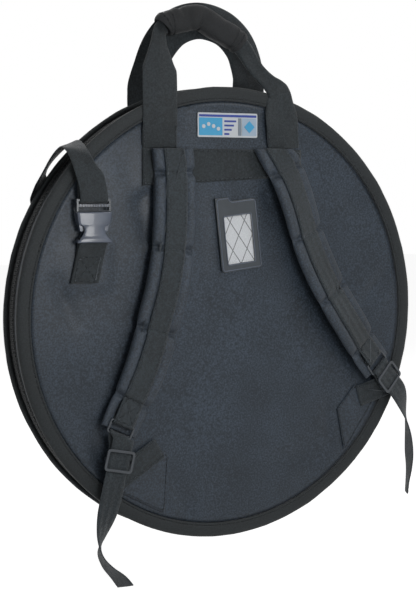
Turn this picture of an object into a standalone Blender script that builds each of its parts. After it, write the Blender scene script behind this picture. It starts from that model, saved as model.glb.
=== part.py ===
"""Round soft bag for cymbals, with rucksack straps, built as its separate sewn and moulded pieces.

Metres, +Z up. The bag hangs from its handles: the origin is where a hand or a hook holds it,
between the two handles and straight above the centre of the round body. The strap side faces
-Y and the zipped cover faces +Y. Places on the round body are given as x and a height above
its centre. A proud distance is measured outwards from the face of the body.
"""

import math

import bmesh
import bpy
import numpy as np
from mathutils import Matrix, Vector

# Body
RIM_R = 0.300              # outer radius of the bound edge
BAG_DEPTH = 0.046          # between the outer faces of the two panels
GRIP_RISE = 0.378          # from the centre of the body up to the held point
GAP = 0.0003               # left between pieces that touch
RUN = 0.0006               # running clearance of a piece that slides
SKIN = 0.0012              # coated nylon with its backing
FOAM = 0.006
LINING = 0.001
RIM_SIDES = 72
BINDING_WIDE = 0.0187      # the band of binding seen on the face
BINDING_PROUD = 0.0019     # how far the binding stands off the panel
BINDING_ROUND = 0.0016     # its rounded corners
FLANGE_THICK = 0.0066      # the bound edge, across the bag
FLANGE_HIGH = 0.0062       # how far the bound edge stands past the gusset
GUSSET_THICK = 0.0015
OVERRUN = 0.004            # how far a cutter passes the piece that it cuts

# Zip
ZIP_Y = 0.0085             # the middle of the zip, towards the cover
ZIP_SLOT = 0.0012          # between the two rows of teeth
TEETH_WIDE = 0.0030        # one row
TEETH_PROUD = 0.0012       # how far the teeth stand out of the tape
HINGE_STEPS = 8            # sides of the rim that the unzipped arc at the bottom takes
SLIDER_LONG = 0.0130
SLIDER_WIDE = 0.0100
SLIDER_PLATE = 0.0014
SLIDER_STEPS = 2
SLIDER_APART = 0.0165      # between the middles of the two sliders
PULL_LONG = 0.0280
PULL_WIDE = 0.0070
PULL_THICK = 0.0014
PULL_START = 0.0012        # the pull starts this far past its hinge
PULL_STEPS = 4

# Dividers
DIVIDER_THICK = 0.0020
DIVIDER_CLEAR = 0.0050     # from its edge to the inside of a zip slider
DIVIDER_Y = 0.0045         # of each divider's middle, to both sides

# Webbing
WEB_THICK = 0.0018
HANDLE_WEB = 0.050
STRAP_WEB = 0.030
CLOSURE_WEB = 0.0385
LINE_STEPS = 3             # steps between two hand placed points
TURN_STEPS = 6             # steps of a half turn round a bar

# Yoke, sewn level across the back
YOKE_LOW_SHARE = 0.5667
YOKE_HIGH_SHARE = 0.7267
YOKE_LEFT_SHARE = -0.420
YOKE_RIGHT_SHARE = 0.3833
YOKE_SLOPE_SHARE = 0.040   # how much higher its lower edge is at the right end
LIFT_LEFT_SHARE = -0.1267  # where each strap's lifting line crosses the yoke's top
LIFT_RIGHT_SHARE = 0.100

# Shoulder straps
PAD_WIDE = 0.061
PAD_THICK = 0.0120
PAD_LIFT = 0.0100          # one share of lift of a strap off the panel
PAD_LEAN = math.radians(15)
PAD_TONGUE = 0.0042        # thickness past the last cross seam

# Strap hardware
WIRE_R = 0.0016
RING_WIDE = 0.0375
RING_LONG = 0.0190
RING_CORNER = 0.0020
HOLD_LONG = 0.0070         # webbing that runs back from a bar that it turns round
GLIDE_WIDE = 0.0400
GLIDE_LONG = 0.0290
GLIDE_THICK = 0.0020
GLIDE_RAIL = 0.0034
CORNER_R = 0.0045
CORNER_STEPS = 3
TAB_THICK = 0.0020

# Handles
FOLD_SHARE = 0.9733        # height of the line where both handles fold
FOLD_PROUD = 0.0042
GRIP_HIGH = 0.032
GRIP_THICK = 0.022
BACK_HANDLE_Y = -0.010     # of the gathered grip
FRONT_HANDLE_Y = 0.0045

# Badge and card holder
BADGE_WIDE = 0.091
BADGE_HIGH = 0.032
BADGE_THICK = 0.0016
BADGE_SHARE = 0.8317       # its height on the panel
BADGE_CORNER = 0.0020
HOLDER_WIDE = 0.062
HOLDER_HIGH = 0.093
HOLDER_THICK = 0.0046
HOLDER_SHARES = (0.0533, 0.3467)    # x and height of its middle
HOLDER_TILT = math.radians(6.5)
EAR_WIDE = 0.018
EAR_HIGH = 0.006
POCKET_PROUD = 0.0023      # of the card's pocket
POCKET_THICK = 0.0010
CARD_WIDE = 0.0460
CARD_HIGH = 0.0700
CARD_THICK = 0.0004
CARD_DROP = 0.0050         # the card's middle lies this far under the holder's
WINDOW_WIDE = 0.0410
WINDOW_HIGH = 0.0630
WINDOW_THICK = 0.0007
WINDOW_CORNER = 0.0020

# Side release buckle
BUCKLE_SHARES = (-0.660, 0.4567)    # x, and the height where its halves meet
BUCKLE_PROUD = 0.0060      # of its middle
BUCKLE_HALF = 0.0240
WAIST_HALF = 0.0140
WAIST_SLOPE = 0.0016
FEMALE_THICK = 0.0110
SLEEVE_LONG = 0.0110
WINDOW_LONG = 0.0137       # the open sides where the prongs show
FEMALE_FOOT = 0.0123       # under them, down to the end
CAVITY_PAST = 0.0015       # how far the cavity runs into the foot
CAVITY_HALF = 0.0210
CAVITY_HIGH = 0.0066
BAR = 0.0032
SLOT_LONG = 0.0042
MALE_LONG = 0.0165
MALE_THICK = 0.0054
PRONG_X = 0.0170
PRONG_WIDE = 0.0038
PRONG_CLEAR = 0.0017       # from a prong's tip to the end of the cavity
PRONG_BULGE = 0.0028
PRONG_THICK = 0.0054

# Closure strap's end on the cover
ANCHOR_RISE = 0.0039       # of the strap off the cover's binding, where its two pieces meet

# Body levels worked out from the sizes above
FACE_Y = BAG_DEPTH / 2
FLANGE_IN_R = RIM_R - FLANGE_HIGH
GUSSET_R = FLANGE_IN_R - GAP
GUSSET_IN_R = GUSSET_R - GUSSET_THICK
INSIDE_R = GUSSET_IN_R - GAP
DIVIDER_R = GUSSET_IN_R - RUN - SLIDER_PLATE - DIVIDER_CLEAR
BINDING_IN_R = RIM_R - BINDING_WIDE
PANEL_R = BINDING_IN_R - GAP
BINDING_Y = FACE_Y + BINDING_PROUD
FLANGE_IN_Y = BINDING_Y - FLANGE_THICK
FOAM_OUT_Y = FACE_Y - SKIN - GAP
LINING_OUT_Y = FOAM_OUT_Y - FOAM - GAP
HINGE_Y = FLANGE_IN_Y - GAP
TEETH_R = GUSSET_R + TEETH_PROUD
SLIDER_IN_R = TEETH_R + RUN
SLIDER_TOP_R = SLIDER_IN_R + SLIDER_PLATE
PULL_IN_R = SLIDER_TOP_R + GAP
SLIDER_ANGLE = SLIDER_APART / TEETH_R / 2
HINGE_HALF = math.pi * HINGE_STEPS / RIM_SIDES
ON_PANEL = GAP + WEB_THICK / 2
ON_BINDING = BINDING_PROUD + ON_PANEL
STRAP_BASE = GAP + WEB_THICK + GAP
RING_PROUD = PAD_TONGUE + GAP + WEB_THICK + GAP + WIRE_R
TURN_R = WIRE_R + GAP + WEB_THICK / 2
BAR_TURN_R = BAR / math.sqrt(2) + GAP + WEB_THICK / 2
YOKE_LOW = YOKE_LOW_SHARE * RIM_R
YOKE_HIGH = YOKE_HIGH_SHARE * RIM_R
YOKE_LEFT = YOKE_LEFT_SHARE * RIM_R
YOKE_RIGHT = YOKE_RIGHT_SHARE * RIM_R
FOLD_HEIGHT = FOLD_SHARE * RIM_R
BADGE_HEIGHT = BADGE_SHARE * RIM_R
HOLDER_X, HOLDER_HEIGHT = (share * RIM_R for share in HOLDER_SHARES)
BUCKLE_X, BUCKLE_MEET = (share * RIM_R for share in BUCKLE_SHARES)
FEMALE_LONG = SLEEVE_LONG + WINDOW_LONG + FEMALE_FOOT
CAVITY_LONG = SLEEVE_LONG + WINDOW_LONG + CAVITY_PAST
PRONG_LONG = CAVITY_LONG - PRONG_CLEAR
CENTRE = Vector((0, 0, -GRIP_RISE))

# Across a pad: place, and thickness with its two sewn channels beside the webbing
PAD_ACROSS_SHARES = (-1.0, -0.92, -0.74, -0.55, 0.0, 0.55, 0.74, 0.92, 1.0)
PAD_CROWN_SHARES = (0.26, 0.72, 1.0, 0.72, 0.74, 0.72, 1.0, 0.72, 0.26)
PAD_STATION_SHARES = (0.0, 0.12, 0.5, 0.88)      # rows between two cross seams
SEAM_SHARE = 0.62          # thickness of a pad's margins at a cross seam

# Each row: x and height in shares of RIM_R, lift in shares of PAD_LIFT, width and lean
LEFT_PAD_SHARES = (
    (-0.287, 0.727, 0.00, 0.98, 0.0),
    (-0.276, 0.640, 0.02, 0.99, 0.0),
    (-0.275, 0.556, 0.10, 1.00, 0.0),
    (-0.280, 0.413, 0.30, 1.02, 0.0),
    (-0.294, 0.257, 0.40, 1.03, 0.0),
    (-0.323, 0.110, 0.45, 1.03, 0.0),
    (-0.360, -0.010, 0.45, 1.02, 0.0),
    (-0.387, -0.110, 0.45, 1.00, 0.0),
    (-0.428, -0.220, 0.45, 0.97, 0.0),
    (-0.482, -0.333, 0.45, 0.92, 0.0),
    (-0.530, -0.425, 0.45, 0.88, 0.0),
    (-0.556, -0.480, 0.45, 0.86, 0.0),
)
RIGHT_PAD_SHARES = (
    (0.222, 0.727, 0.00, 0.98, 0.10),
    (0.258, 0.670, 0.03, 0.98, 0.40),
    (0.295, 0.590, 0.07, 0.98, 0.80),
    (0.340, 0.470, 0.12, 1.00, 1.00),
    (0.388, 0.327, 0.16, 1.00, 1.00),
    (0.455, 0.185, 0.18, 1.00, 1.00),
    (0.537, 0.050, 0.20, 0.98, 1.00),
    (0.615, -0.060, 0.20, 0.96, 0.95),
    (0.690, -0.163, 0.18, 0.93, 0.85),
    (0.768, -0.255, 0.16, 0.89, 0.72),
    (0.786, -0.278, 0.15, 0.88, 0.70),
)
LEFT_SEAM_SHARES = (0.0, 0.085, 0.345, 0.63, 0.885, 1.0)
RIGHT_SEAM_SHARES = (0.0, 0.098, 0.356, 0.62, 0.88, 1.0)

# Tails: x and height, lift, width and turn in shares of a half turn
LEFT_TAIL_SHARES = (
    (-0.5410, -0.5100, 1.75, 1.00, 0.00),
    (-0.5550, -0.5750, 1.65, 1.00, 0.00),
    (-0.5690, -0.6400, 1.55, 1.00, 0.00),
    (-0.5830, -0.7050, 1.45, 1.00, 0.00),
    (-0.5970, -0.7700, 1.35, 1.00, 0.00),
    (-0.6130, -0.8400, 1.15, 1.00, 0.06),
    (-0.6300, -0.9300, 0.80, 1.00, 0.24),
    (-0.6320, -1.0050, 0.60, 1.00, 0.47),
    (-0.5980, -1.0650, 0.50, 1.00, 0.78),
    (-0.5500, -1.1150, 0.50, 1.00, 0.88),
    (-0.5150, -1.1600, 0.50, 1.00, 0.90),
)
RIGHT_TAIL_SHARES = (
    (0.8060, -0.2900, 1.85, 1.00, 0.058),
    (0.8340, -0.3210, 1.77, 1.00, 0.058),
    (0.8620, -0.3520, 1.69, 1.00, 0.058),
    (0.9040, -0.3985, 1.57, 1.00, 0.058),
    (0.9320, -0.4450, 1.40, 1.00, 0.13),
    (0.9620, -0.5200, 1.10, 1.00, 0.28),
    (0.9850, -0.6080, 0.85, 1.00, 0.38),
    (0.9950, -0.7000, 0.70, 1.00, 0.42),
    (0.9960, -0.7800, 0.65, 1.00, 0.38),
    (0.9900, -0.8450, 0.60, 1.00, 0.34),
    (0.9850, -0.9000, 0.60, 1.00, 0.33),
)
LEFT_RING_SHARE = 0.990    # of the way along the pad
RIGHT_RING_SHARE = 0.980
LEFT_GLIDE_SHARE = 0.135   # of the way along the tail
RIGHT_GLIDE_SHARE = 0.080

# Lower anchors: x, height and lift of the webbing, then the corners of the sewn fabric tab
LEFT_ANCHOR_SHARES = ((-0.345, -0.572, 0.35), (-0.450, -0.632, 0.52), (-0.560, -0.694, 0.66))
RIGHT_ANCHOR_SHARES = ((0.705, -0.418, 0.35), (0.790, -0.395, 0.37), (0.880, -0.368, 0.40))
LEFT_TAB_SHARES = ((-0.385, -0.560), (-0.300, -0.600), (-0.318, -0.865), (-0.535, -0.750))
RIGHT_TAB_SHARES = ((0.590, -0.470), (0.690, -0.360), (0.800, -0.435), (0.630, -0.670))
RETURN_SHARES = (0.60, 0.55)    # drop and lift of the webbing that runs back behind the tail

# Handles: x and height in shares of RIM_R, width, and the share of the way in to the grip
BACK_HANDLE_SHARES = (
    (-0.3370, 0.9743, 1.00, 0.00),
    (-0.3370, 1.0000, 1.00, 0.02),
    (-0.3350, 1.0550, 0.98, 0.12),
    (-0.3300, 1.1200, 0.72, 0.32),
    (-0.3230, 1.1800, 0.50, 0.60),
    (-0.3080, 1.2350, 0.44, 0.88),
    (-0.2720, 1.2660, 0.50, 1.00),
    (-0.2200, 1.2790, 0.50, 1.00),
    (-0.1650, 1.2930, 0.50, 1.00),
    (-0.1180, 1.2960, 0.50, 1.00),
    (-0.0700, 1.2770, 0.50, 1.00),
    (0.0000, 1.2430, 0.50, 1.00),
    (0.0640, 1.2110, 0.50, 1.00),
    (0.1120, 1.1700, 0.50, 0.96),
    (0.1450, 1.1150, 0.46, 0.78),
    (0.1780, 1.0700, 0.43, 0.55),
    (0.2150, 1.0280, 0.48, 0.16),
    (0.2440, 1.0000, 0.64, -0.03),
    (0.2640, 0.9743, 0.80, 0.00),
)
FRONT_HANDLE_SHARES = (
    (-0.3250, 0.9743, 1.00, 0.00),
    (-0.3250, 1.0000, 1.00, 0.02),
    (-0.3080, 1.0700, 1.00, 0.28),
    (-0.2770, 1.1700, 1.00, 0.62),
    (-0.2050, 1.2550, 0.98, 0.92),
    (-0.0900, 1.2900, 0.96, 1.00),
    (0.0350, 1.2600, 0.96, 1.00),
    (0.1250, 1.1850, 0.98, 0.84),
    (0.1820, 1.0850, 1.00, 0.40),
    (0.2050, 1.0120, 1.00, 0.00),
    (0.2050, 0.9743, 1.00, 0.00),
)
GRIP_SPAN_SHARES = (0.280, 0.720)                # of the way along the back handle
GRIP_ACROSS_SHARES = (-1.0, -0.88, -0.5, 0.0, 0.5, 0.88, 1.0)
GRIP_CROWN_SHARES = (0.30, 0.68, 0.95, 1.0, 0.95, 0.68, 0.30)
BACK_LEG_SHARES = ((-0.3370, -0.3370), (0.2930, 0.2640))     # x at the yoke and at the fold
LEG_STATION_SHARES = ((0.0, 0.0), (0.26, 0.0), (0.42, 1.0), (1.0, 1.0))
FRONT_LEG_SHARES = (-0.3250, 0.2050)

# Closure strap: x, y in shares of FACE_Y, height, and the direction of its width
CLOSURE_SHARES = (
    (-0.6580, -1.400, 0.5121, 1.00, 0.00, 0.00),
    (-0.6668, -1.435, 0.5632, 1.00, 0.03, 0.03),
    (-0.6850, -1.500, 0.6182, 1.00, 0.01, -0.01),
    (-0.7152, -1.587, 0.6667, 0.97, 0.11, -0.20),
    (-0.7528, -1.831, 0.7121, 0.96, 0.27, -0.06),
    (-0.7438, -0.703, 0.7419, 0.85, 0.48, 0.23),
    (-0.7495, 0.370, 0.7203, 0.69, 0.71, 0.15),
    (-0.7711, 0.935, 0.6795, 0.55, 0.83, 0.08),
    (-0.7958, 1.139, 0.6341, 0.53, 0.83, 0.16),
    (-0.8171, 1.230, 0.5900, 0.62, 0.62, 0.38),
)
# Its end on the cover: x, height, rise off the binding, and the direction of its width
ANCHOR_SHARES = (
    (-0.8227, 0.5467, 1.00, 0.73, 0.30, 0.58),
    (-0.8133, 0.5250, 0.75, 0.76, 0.12, 0.64),
    (-0.7977, 0.5000, 0.05, 0.75, 0.00, 0.66),
    (-0.7833, 0.4837, 0.00, 0.75, 0.00, 0.66),
)
BUCKLE_TAB_SHARES = ((-0.670, 0.270), (-0.697, 0.157))       # under the buckle, and the far end
CLOSURE_RETURN_SHARE = 0.65     # of the strap's width, for the end sewn back behind the buckle

BLACK_NYLON = (0.034, 0.040, 0.048)
BLACK_WEBBING = (0.022, 0.026, 0.028)
DARK_TAPE = (0.018, 0.021, 0.022)
GREY_FOAM = (0.12, 0.12, 0.13)
GREY_PLASTIC = (0.090, 0.100, 0.130)
DARK_PLASTIC = (0.020, 0.022, 0.025)
ZIP_METAL = (0.060, 0.060, 0.058)
BADGE_BLUE = (0.100, 0.440, 0.700)
CARD_WHITE = (0.620, 0.640, 0.660)
CLEAR_PLASTIC = (0.700, 0.720, 0.740)


def clear_scene():
    """Remove the startup objects."""
    for item in list(bpy.data.objects):
        bpy.data.objects.remove(item)


def new_collection(name, hidden=False):
    """Add a collection under the scene's own one."""
    made = bpy.data.collections.new(name)
    bpy.context.scene.collection.children.link(made)
    made.hide_render = hidden
    return made


def finish(name, colour, roughness, metallic=0.0, alpha=1.0):
    """Make one plain Principled material."""
    material = bpy.data.materials.new(name)
    material.use_nodes = True
    shader = material.node_tree.nodes["Principled BSDF"]
    shader.inputs["Base Color"].default_value = (*colour, 1.0)
    shader.inputs["Roughness"].default_value = roughness
    shader.inputs["Metallic"].default_value = metallic
    shader.inputs["Alpha"].default_value = alpha
    return material


def add_pivot(name, place, parent=None):
    """Add an empty on a joint's axis. The place is measured from the centre of the body."""
    pivot = bpy.data.objects.new(name, None)
    pivot.location = CENTRE + Vector(place)
    bpy.data.collections["pivots"].objects.link(pivot)
    if parent is not None:
        pivot.parent = parent
        pivot.matrix_parent_inverse = Matrix.Translation(-parent.matrix_world.translation)
    bpy.context.view_layer.update()
    return pivot


def mesh_object(name, work, kind, parent=None):
    """Turn a bmesh, drawn from the centre of the body, into an object with faces pointing out."""
    bmesh.ops.recalc_face_normals(work, faces=work.faces)
    if work.calc_volume(signed=True) < 0:
        bmesh.ops.reverse_faces(work, faces=work.faces)
    mesh = bpy.data.meshes.new(name)
    work.to_mesh(mesh)
    work.free()
    item = bpy.data.objects.new(name, mesh)
    collection, material = kind
    collection.objects.link(item)
    if material is not None:
        mesh.materials.append(material)
    item.location = CENTRE
    if parent is not None:
        item.parent = parent
        item.matrix_parent_inverse = Matrix.Translation(-parent.matrix_world.translation)
    return item


def cutting(item, cutter, operation="DIFFERENCE"):
    """Cut an object with a hidden cutter, or join the cutter to it."""
    modifier = item.modifiers.new(cutter.name, "BOOLEAN")
    modifier.operation = operation
    modifier.object = cutter
    cutter.hide_render = True
    cutter.display_type = "WIRE"


def box(name, low, high, kind, turn=None):
    """A block between two corners, which may be turned afterwards."""
    work = bmesh.new()
    bmesh.ops.create_cube(work, size=1)
    size = [b - a for a, b in zip(low, high)]
    middle = [(a + b) / 2 for a, b in zip(low, high)]
    bmesh.ops.scale(work, vec=size, verts=work.verts)
    bmesh.ops.translate(work, vec=middle, verts=work.verts)
    if turn is not None:
        bmesh.ops.transform(work, matrix=turn, verts=work.verts)
    return mesh_object(name, work, kind)


def disc(name, radius, low_y, high_y, kind, parent=None, hem_r=None):
    """A round sheet standing across the bag, reaching further along the unzipped arc."""
    work = bmesh.new()
    bmesh.ops.create_cone(work, cap_ends=True, segments=RIM_SIDES, radius1=radius,
                          radius2=radius, depth=high_y - low_y)
    bmesh.ops.rotate(work, matrix=Matrix.Rotation(math.pi / 2, 3, "X"), verts=work.verts)
    bmesh.ops.translate(work, vec=(0, (low_y + high_y) / 2, 0), verts=work.verts)
    if hem_r is not None:
        stretch = hem_r / radius
        for vertex in work.verts:
            x, _, z = vertex.co
            if abs(math.atan2(x, -z)) < HINGE_HALF + GAP:
                vertex.co = (x * stretch, vertex.co.y, z * stretch)
    return mesh_object(name, work, kind, parent)


def band(name, profile, start, steps, side_angle, kind, parent=None):
    """A band swept round the body's axis from (radius, y) points, whole where it closes."""
    work = bmesh.new()
    rows = []
    for step in range(steps + 1):
        angle = start + step * side_angle
        rows.append([work.verts.new((r * math.cos(angle), y, r * math.sin(angle)))
                     for r, y in profile])
    for row, after in zip(rows, rows[1:]):
        for i in range(len(profile)):
            j = (i + 1) % len(profile)
            work.faces.new((row[i], row[j], after[j], after[i]))
    if math.isclose(steps * side_angle, math.tau):
        bmesh.ops.remove_doubles(work, verts=rows[0] + rows[-1], dist=GAP / 3)
    else:
        work.faces.new(rows[0])
        work.faces.new(rows[-1])
    return mesh_object(name, work, kind, parent)


def rim_band(name, profile, kind, parent=None, first=0, steps=RIM_SIDES):
    """A band on the sides of the rim, all the way round or from the first side on."""
    side_angle = math.tau / RIM_SIDES
    return band(name, profile, first * side_angle, steps, side_angle, kind, parent)


def smooth(shares, steps):
    """Rows of a smooth line through hand placed rows."""
    rows = np.array(shares, float)
    rows = np.vstack([2 * rows[0] - rows[1], rows, 2 * rows[-1] - rows[-2]])
    line = []
    for a, b, c, d in zip(rows, rows[1:], rows[2:], rows[3:]):
        for t in np.arange(steps) / steps:
            bend = (2 * a - 5 * b + 4 * c - d) * t ** 2 + (3 * b - a - 3 * c + d) * t ** 3
            line.append((2 * b + (c - a) * t + bend) / 2)
    line.append(rows[-2])
    return np.array(line)


def along_shares(places, line):
    """The share of the way along a line at which each of its places lies."""
    steps = np.linalg.norm(np.diff(places, axis=0), axis=1)
    lengths = np.concatenate([[0], np.cumsum(steps)])
    return lengths / lengths[-1]


class Line:
    """A strap's line: its places, its half widths across, and its directions at each row."""

    def __init__(self, places, widths, leans):
        self.places = [Vector(place) for place in places]
        self.widths = list(widths)
        self.leans = list(leans)
        slopes = np.gradient(np.array(places, float), axis=0)
        self.alongs = [Vector(slope).normalized() for slope in slopes]
        self.sides = []
        self.normals = []
        for along, lean in zip(self.alongs, self.leans):
            level = along.cross(Vector((0, 1, 0))).normalized()
            up = along.cross(level)
            side = level * math.cos(lean) - up * math.sin(lean)
            self.sides.append(side)
            self.normals.append(along.cross(side).normalized())

    def at(self, share):
        """Place and frame at a share of the line's length: centre, along, side and normal."""
        shares = along_shares(self.places, self)
        row = min(range(len(shares)), key=lambda i: abs(shares[i] - share))
        centre = [np.interp(share, shares, [p[axis] for p in self.places]) for axis in range(3)]
        return Vector(centre), self.alongs[row], self.sides[row], self.normals[row]


def strap_line(shares, base, scale_lift, wide, turn, steps=LINE_STEPS):
    """A line over the strap side from a table of x, height, lift, width and lean shares."""
    rows = smooth(shares, steps)
    places = []
    for x, height, lift, width, lean in rows:
        droop = abs(math.sin(lean * turn)) * width * wide / 2 if base > 0 else 0
        proud = base + lift * scale_lift + droop
        places.append((x * RIM_R, -FACE_Y - proud, height * RIM_R))
    return Line(places, rows[:, 3] * wide, rows[:, 4] * turn)


def grid(rows, columns):
    """A flat grid and its vertices by row and column."""
    work = bmesh.new()
    bmesh.ops.create_grid(work, x_segments=rows - 1, y_segments=columns - 1, size=1)
    return work


def in_order(vertices):
    """Vertices sorted by row, then by column."""
    return sorted(vertices, key=lambda v: (round(v.co.x, 5), round(v.co.y, 5)))


def slab(name, lower, upper, kind, parent=None):
    """A body between a lower and an upper grid of places, closed round its edges."""
    work = grid(len(lower), len(lower[0]))
    base = in_order(work.verts)
    made = bmesh.ops.extrude_face_region(work, geom=work.faces[:], use_keep_orig=True)
    raised = in_order(v for v in made["geom"] if isinstance(v, bmesh.types.BMVert))
    for vertices, rows in ((base, lower), (raised, upper)):
        for vertex, place in zip(vertices, [place for row in rows for place in row]):
            vertex.co = place
    return mesh_object(name, work, kind, parent)


def padded(name, line, thicknesses, across, crowns, kind, parent=None, both_sides=False):
    """A padded strap along a line, with its crown and channels across."""
    lower = []
    upper = []
    for i, thickness in enumerate(thicknesses):
        low_row = []
        high_row = []
        for place, crown in zip(across, crowns):
            spot = line.places[i] + line.sides[i] * place * line.widths[i] / 2
            rise = line.normals[i] * thickness * crown
            low_row.append(spot - rise if both_sides else spot)
            high_row.append(spot + rise)
        lower.append(low_row)
        upper.append(high_row)
    return slab(name, lower, upper, kind, parent)


def webbing(name, line, kind, parent=None, thickness=WEB_THICK, spare=0):
    """A flat webbing along a line. The spare widens it, for a cutter."""
    halves = [(width / 2 + spare) for width in line.widths]
    lower = []
    upper = []
    for place, side, normal, half in zip(line.places, line.sides, line.normals, halves):
        rise = normal * thickness / 2
        lower.append([place - side * half - rise, place + side * half - rise])
        upper.append([place - side * half + rise, place + side * half + rise])
    return slab(name, lower, upper, kind, parent)


def path_webbing(name, places, sides, wide, kind, parent=None):
    """A webbing through given places, whose width lies along given directions."""
    line = Line(places, [wide] * len(places), [0] * len(places))
    line.sides = [Vector(side).normalized() for side in sides]
    line.normals = [a.cross(s).normalized() for a, s in zip(line.alongs, line.sides)]
    return webbing(name, line, kind, parent)


def half_turn(bar, heading, normal, radius):
    """Places of a webbing's middle as it turns round a bar, from its outer to its inner side."""
    return [bar + normal * radius * math.cos(math.pi * i / TURN_STEPS)
            + heading * radius * math.sin(math.pi * i / TURN_STEPS)
            for i in range(TURN_STEPS + 1)]


def rounded(x, height, wide, high, corner):
    """The outline of a rectangle with round corners."""
    outline = []
    for quarter, (right, up) in enumerate(((1, 1), (-1, 1), (-1, -1), (1, -1))):
        for step in range(CORNER_STEPS + 1):
            angle = (quarter + step / CORNER_STEPS) * math.pi / 2
            outline.append((x + right * (wide / 2 - corner) + corner * math.cos(angle),
                            height + up * (high / 2 - corner) + corner * math.sin(angle)))
    return outline


def curve_mesh(curve):
    """A welded bmesh of a curve's own surface."""
    draft = bpy.data.objects.new(curve.name, curve)
    bpy.context.scene.collection.objects.link(draft)
    bpy.context.view_layer.update()
    graph = bpy.context.evaluated_depsgraph_get()
    mesh = bpy.data.meshes.new_from_object(draft.evaluated_get(graph))
    bpy.data.objects.remove(draft)
    work = bmesh.new()
    work.from_mesh(mesh)
    bpy.data.meshes.remove(mesh)
    bmesh.ops.remove_doubles(work, verts=work.verts, dist=GAP / 30)
    return work


def plate(name, outlines, low_proud, high_proud, kind, parent=None, turn=None):
    """A plate on the strap side from closed (x, height) outlines. Later outlines are holes."""
    curve = bpy.data.curves.new(name, "CURVE")
    curve.dimensions = "2D"
    curve.fill_mode = "BOTH"
    curve.extrude = (high_proud - low_proud) / 2
    for outline in outlines:
        spline = curve.splines.new("POLY")
        spline.points.add(len(outline) - 1)
        for point, (x, height) in zip(spline.points, outline):
            point.co = (x, height, 0, 1)
        spline.use_cyclic_u = True
    work = curve_mesh(curve)
    bmesh.ops.rotate(work, matrix=Matrix.Rotation(math.pi / 2, 3, "X"), verts=work.verts)
    middle = (0, -(low_proud + high_proud) / 2, 0)
    bmesh.ops.translate(work, vec=middle, verts=work.verts)
    bmesh.ops.transform(work, matrix=turn or on_face(0, 0, 0), verts=work.verts)
    return mesh_object(name, work, kind, parent)


def wire_loop(name, wide, high, kind, parent, turn):
    """A rectangular ring of round wire with round corners."""
    curve = bpy.data.curves.new(name, "CURVE")
    curve.dimensions = "3D"
    curve.bevel_depth = WIRE_R
    curve.bevel_resolution = 1
    spline = curve.splines.new("POLY")
    outline = rounded(0, 0, wide - 2 * WIRE_R, high - 2 * WIRE_R, RING_CORNER)
    spline.points.add(len(outline) - 1)
    for point, (x, height) in zip(spline.points, outline):
        point.co = (x, 0, height, 1)
    spline.use_cyclic_u = True
    work = curve_mesh(curve)
    bmesh.ops.transform(work, matrix=turn, verts=work.verts)
    return mesh_object(name, work, kind, parent)


def frame_matrix(place, side, normal):
    """A frame at a place: x along the side, -y along the outward normal, z the rest."""
    inward = -normal
    upward = side.cross(inward)
    turn = Matrix((side, inward, upward)).transposed().to_4x4()
    return Matrix.Translation(place) @ turn


def on_face(x, height, tilt):
    """A frame on the strap side's panel, tilted in its own plane."""
    turn = Matrix.Rotation(-tilt, 4, "Y")
    return Matrix.Translation((x, -FACE_Y, height)) @ turn


def binding_profile(side):
    """Half of the bag's bound edge as (radius, y) points, on the strap side or the cover."""
    return [(r, side * y) for r, y in (
        (BINDING_IN_R, FACE_Y - SKIN),
        (BINDING_IN_R, BINDING_Y - BINDING_ROUND),
        (BINDING_IN_R + BINDING_ROUND, BINDING_Y),
        (RIM_R - BINDING_ROUND, BINDING_Y),
        (RIM_R, BINDING_Y - BINDING_ROUND),
        (RIM_R, FLANGE_IN_Y + BINDING_ROUND),
        (RIM_R - BINDING_ROUND, FLANGE_IN_Y),
        (FLANGE_IN_R, FLANGE_IN_Y),
        (FLANGE_IN_R, FACE_Y - SKIN),
    )]


def tape_profile(edge_y, teeth_y, outer_y):
    """One zip tape with its row of teeth, from its sewn edge to its teeth's outer side."""
    return [(GUSSET_IN_R, edge_y), (GUSSET_IN_R, outer_y), (TEETH_R, outer_y),
            (TEETH_R, teeth_y), (GUSSET_R, teeth_y), (GUSSET_R, edge_y)]


def build_half(side, names, kinds, parent=None):
    """The panel, foam, lining and binding of one half of the shell."""
    panel, foam, lining, binding = names
    for name, radius, outer, thickness, kind in (
            (panel, PANEL_R, FACE_Y, SKIN, "nylon"),
            (foam, INSIDE_R, FOAM_OUT_Y, FOAM, "foam"),
            (lining, INSIDE_R, LINING_OUT_Y, LINING, "lining")):
        low, high = sorted((side * outer, side * (outer - thickness)))
        disc(name, radius, low, high, kinds[kind], parent)
    rim_band(binding, binding_profile(side), kinds["tape"], parent)


def build_body(kinds, cover):
    """The two halves of the shell, the gusset, the zip's tapes and the hinge panel."""
    build_half(-1, ("back_panel", "back_foam", "back_lining", "back_binding"), kinds)
    build_half(1, ("front_panel", "front_foam", "front_lining", "front_binding"), kinds, cover)
    rim_band("gusset", [(GUSSET_IN_R, -FOAM_OUT_Y), (GUSSET_IN_R, 0), (GUSSET_R, 0),
                        (GUSSET_R, -FOAM_OUT_Y)], kinds["nylon"])
    bottom = -RIM_SIDES // 4
    first = bottom + HINGE_STEPS // 2
    steps = RIM_SIDES - HINGE_STEPS
    tooth = ZIP_SLOT / 2
    rim_band("zip_tape_back", tape_profile(GAP, ZIP_Y - tooth - TEETH_WIDE, ZIP_Y - tooth),
             kinds["zip"], None, first, steps)
    rim_band("zip_tape_front", tape_profile(FOAM_OUT_Y, ZIP_Y + tooth + TEETH_WIDE,
                                            ZIP_Y + tooth), kinds["zip"], cover, first, steps)
    half = HINGE_HALF - GAP / GUSSET_IN_R
    band("hinge_panel", [(GUSSET_IN_R, GAP), (GUSSET_IN_R, HINGE_Y - GAP),
                         (GUSSET_R, HINGE_Y - GAP), (GUSSET_R, GAP)],
         -math.pi / 2 - half, HINGE_STEPS, 2 * half / HINGE_STEPS, kinds["nylon"])


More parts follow.
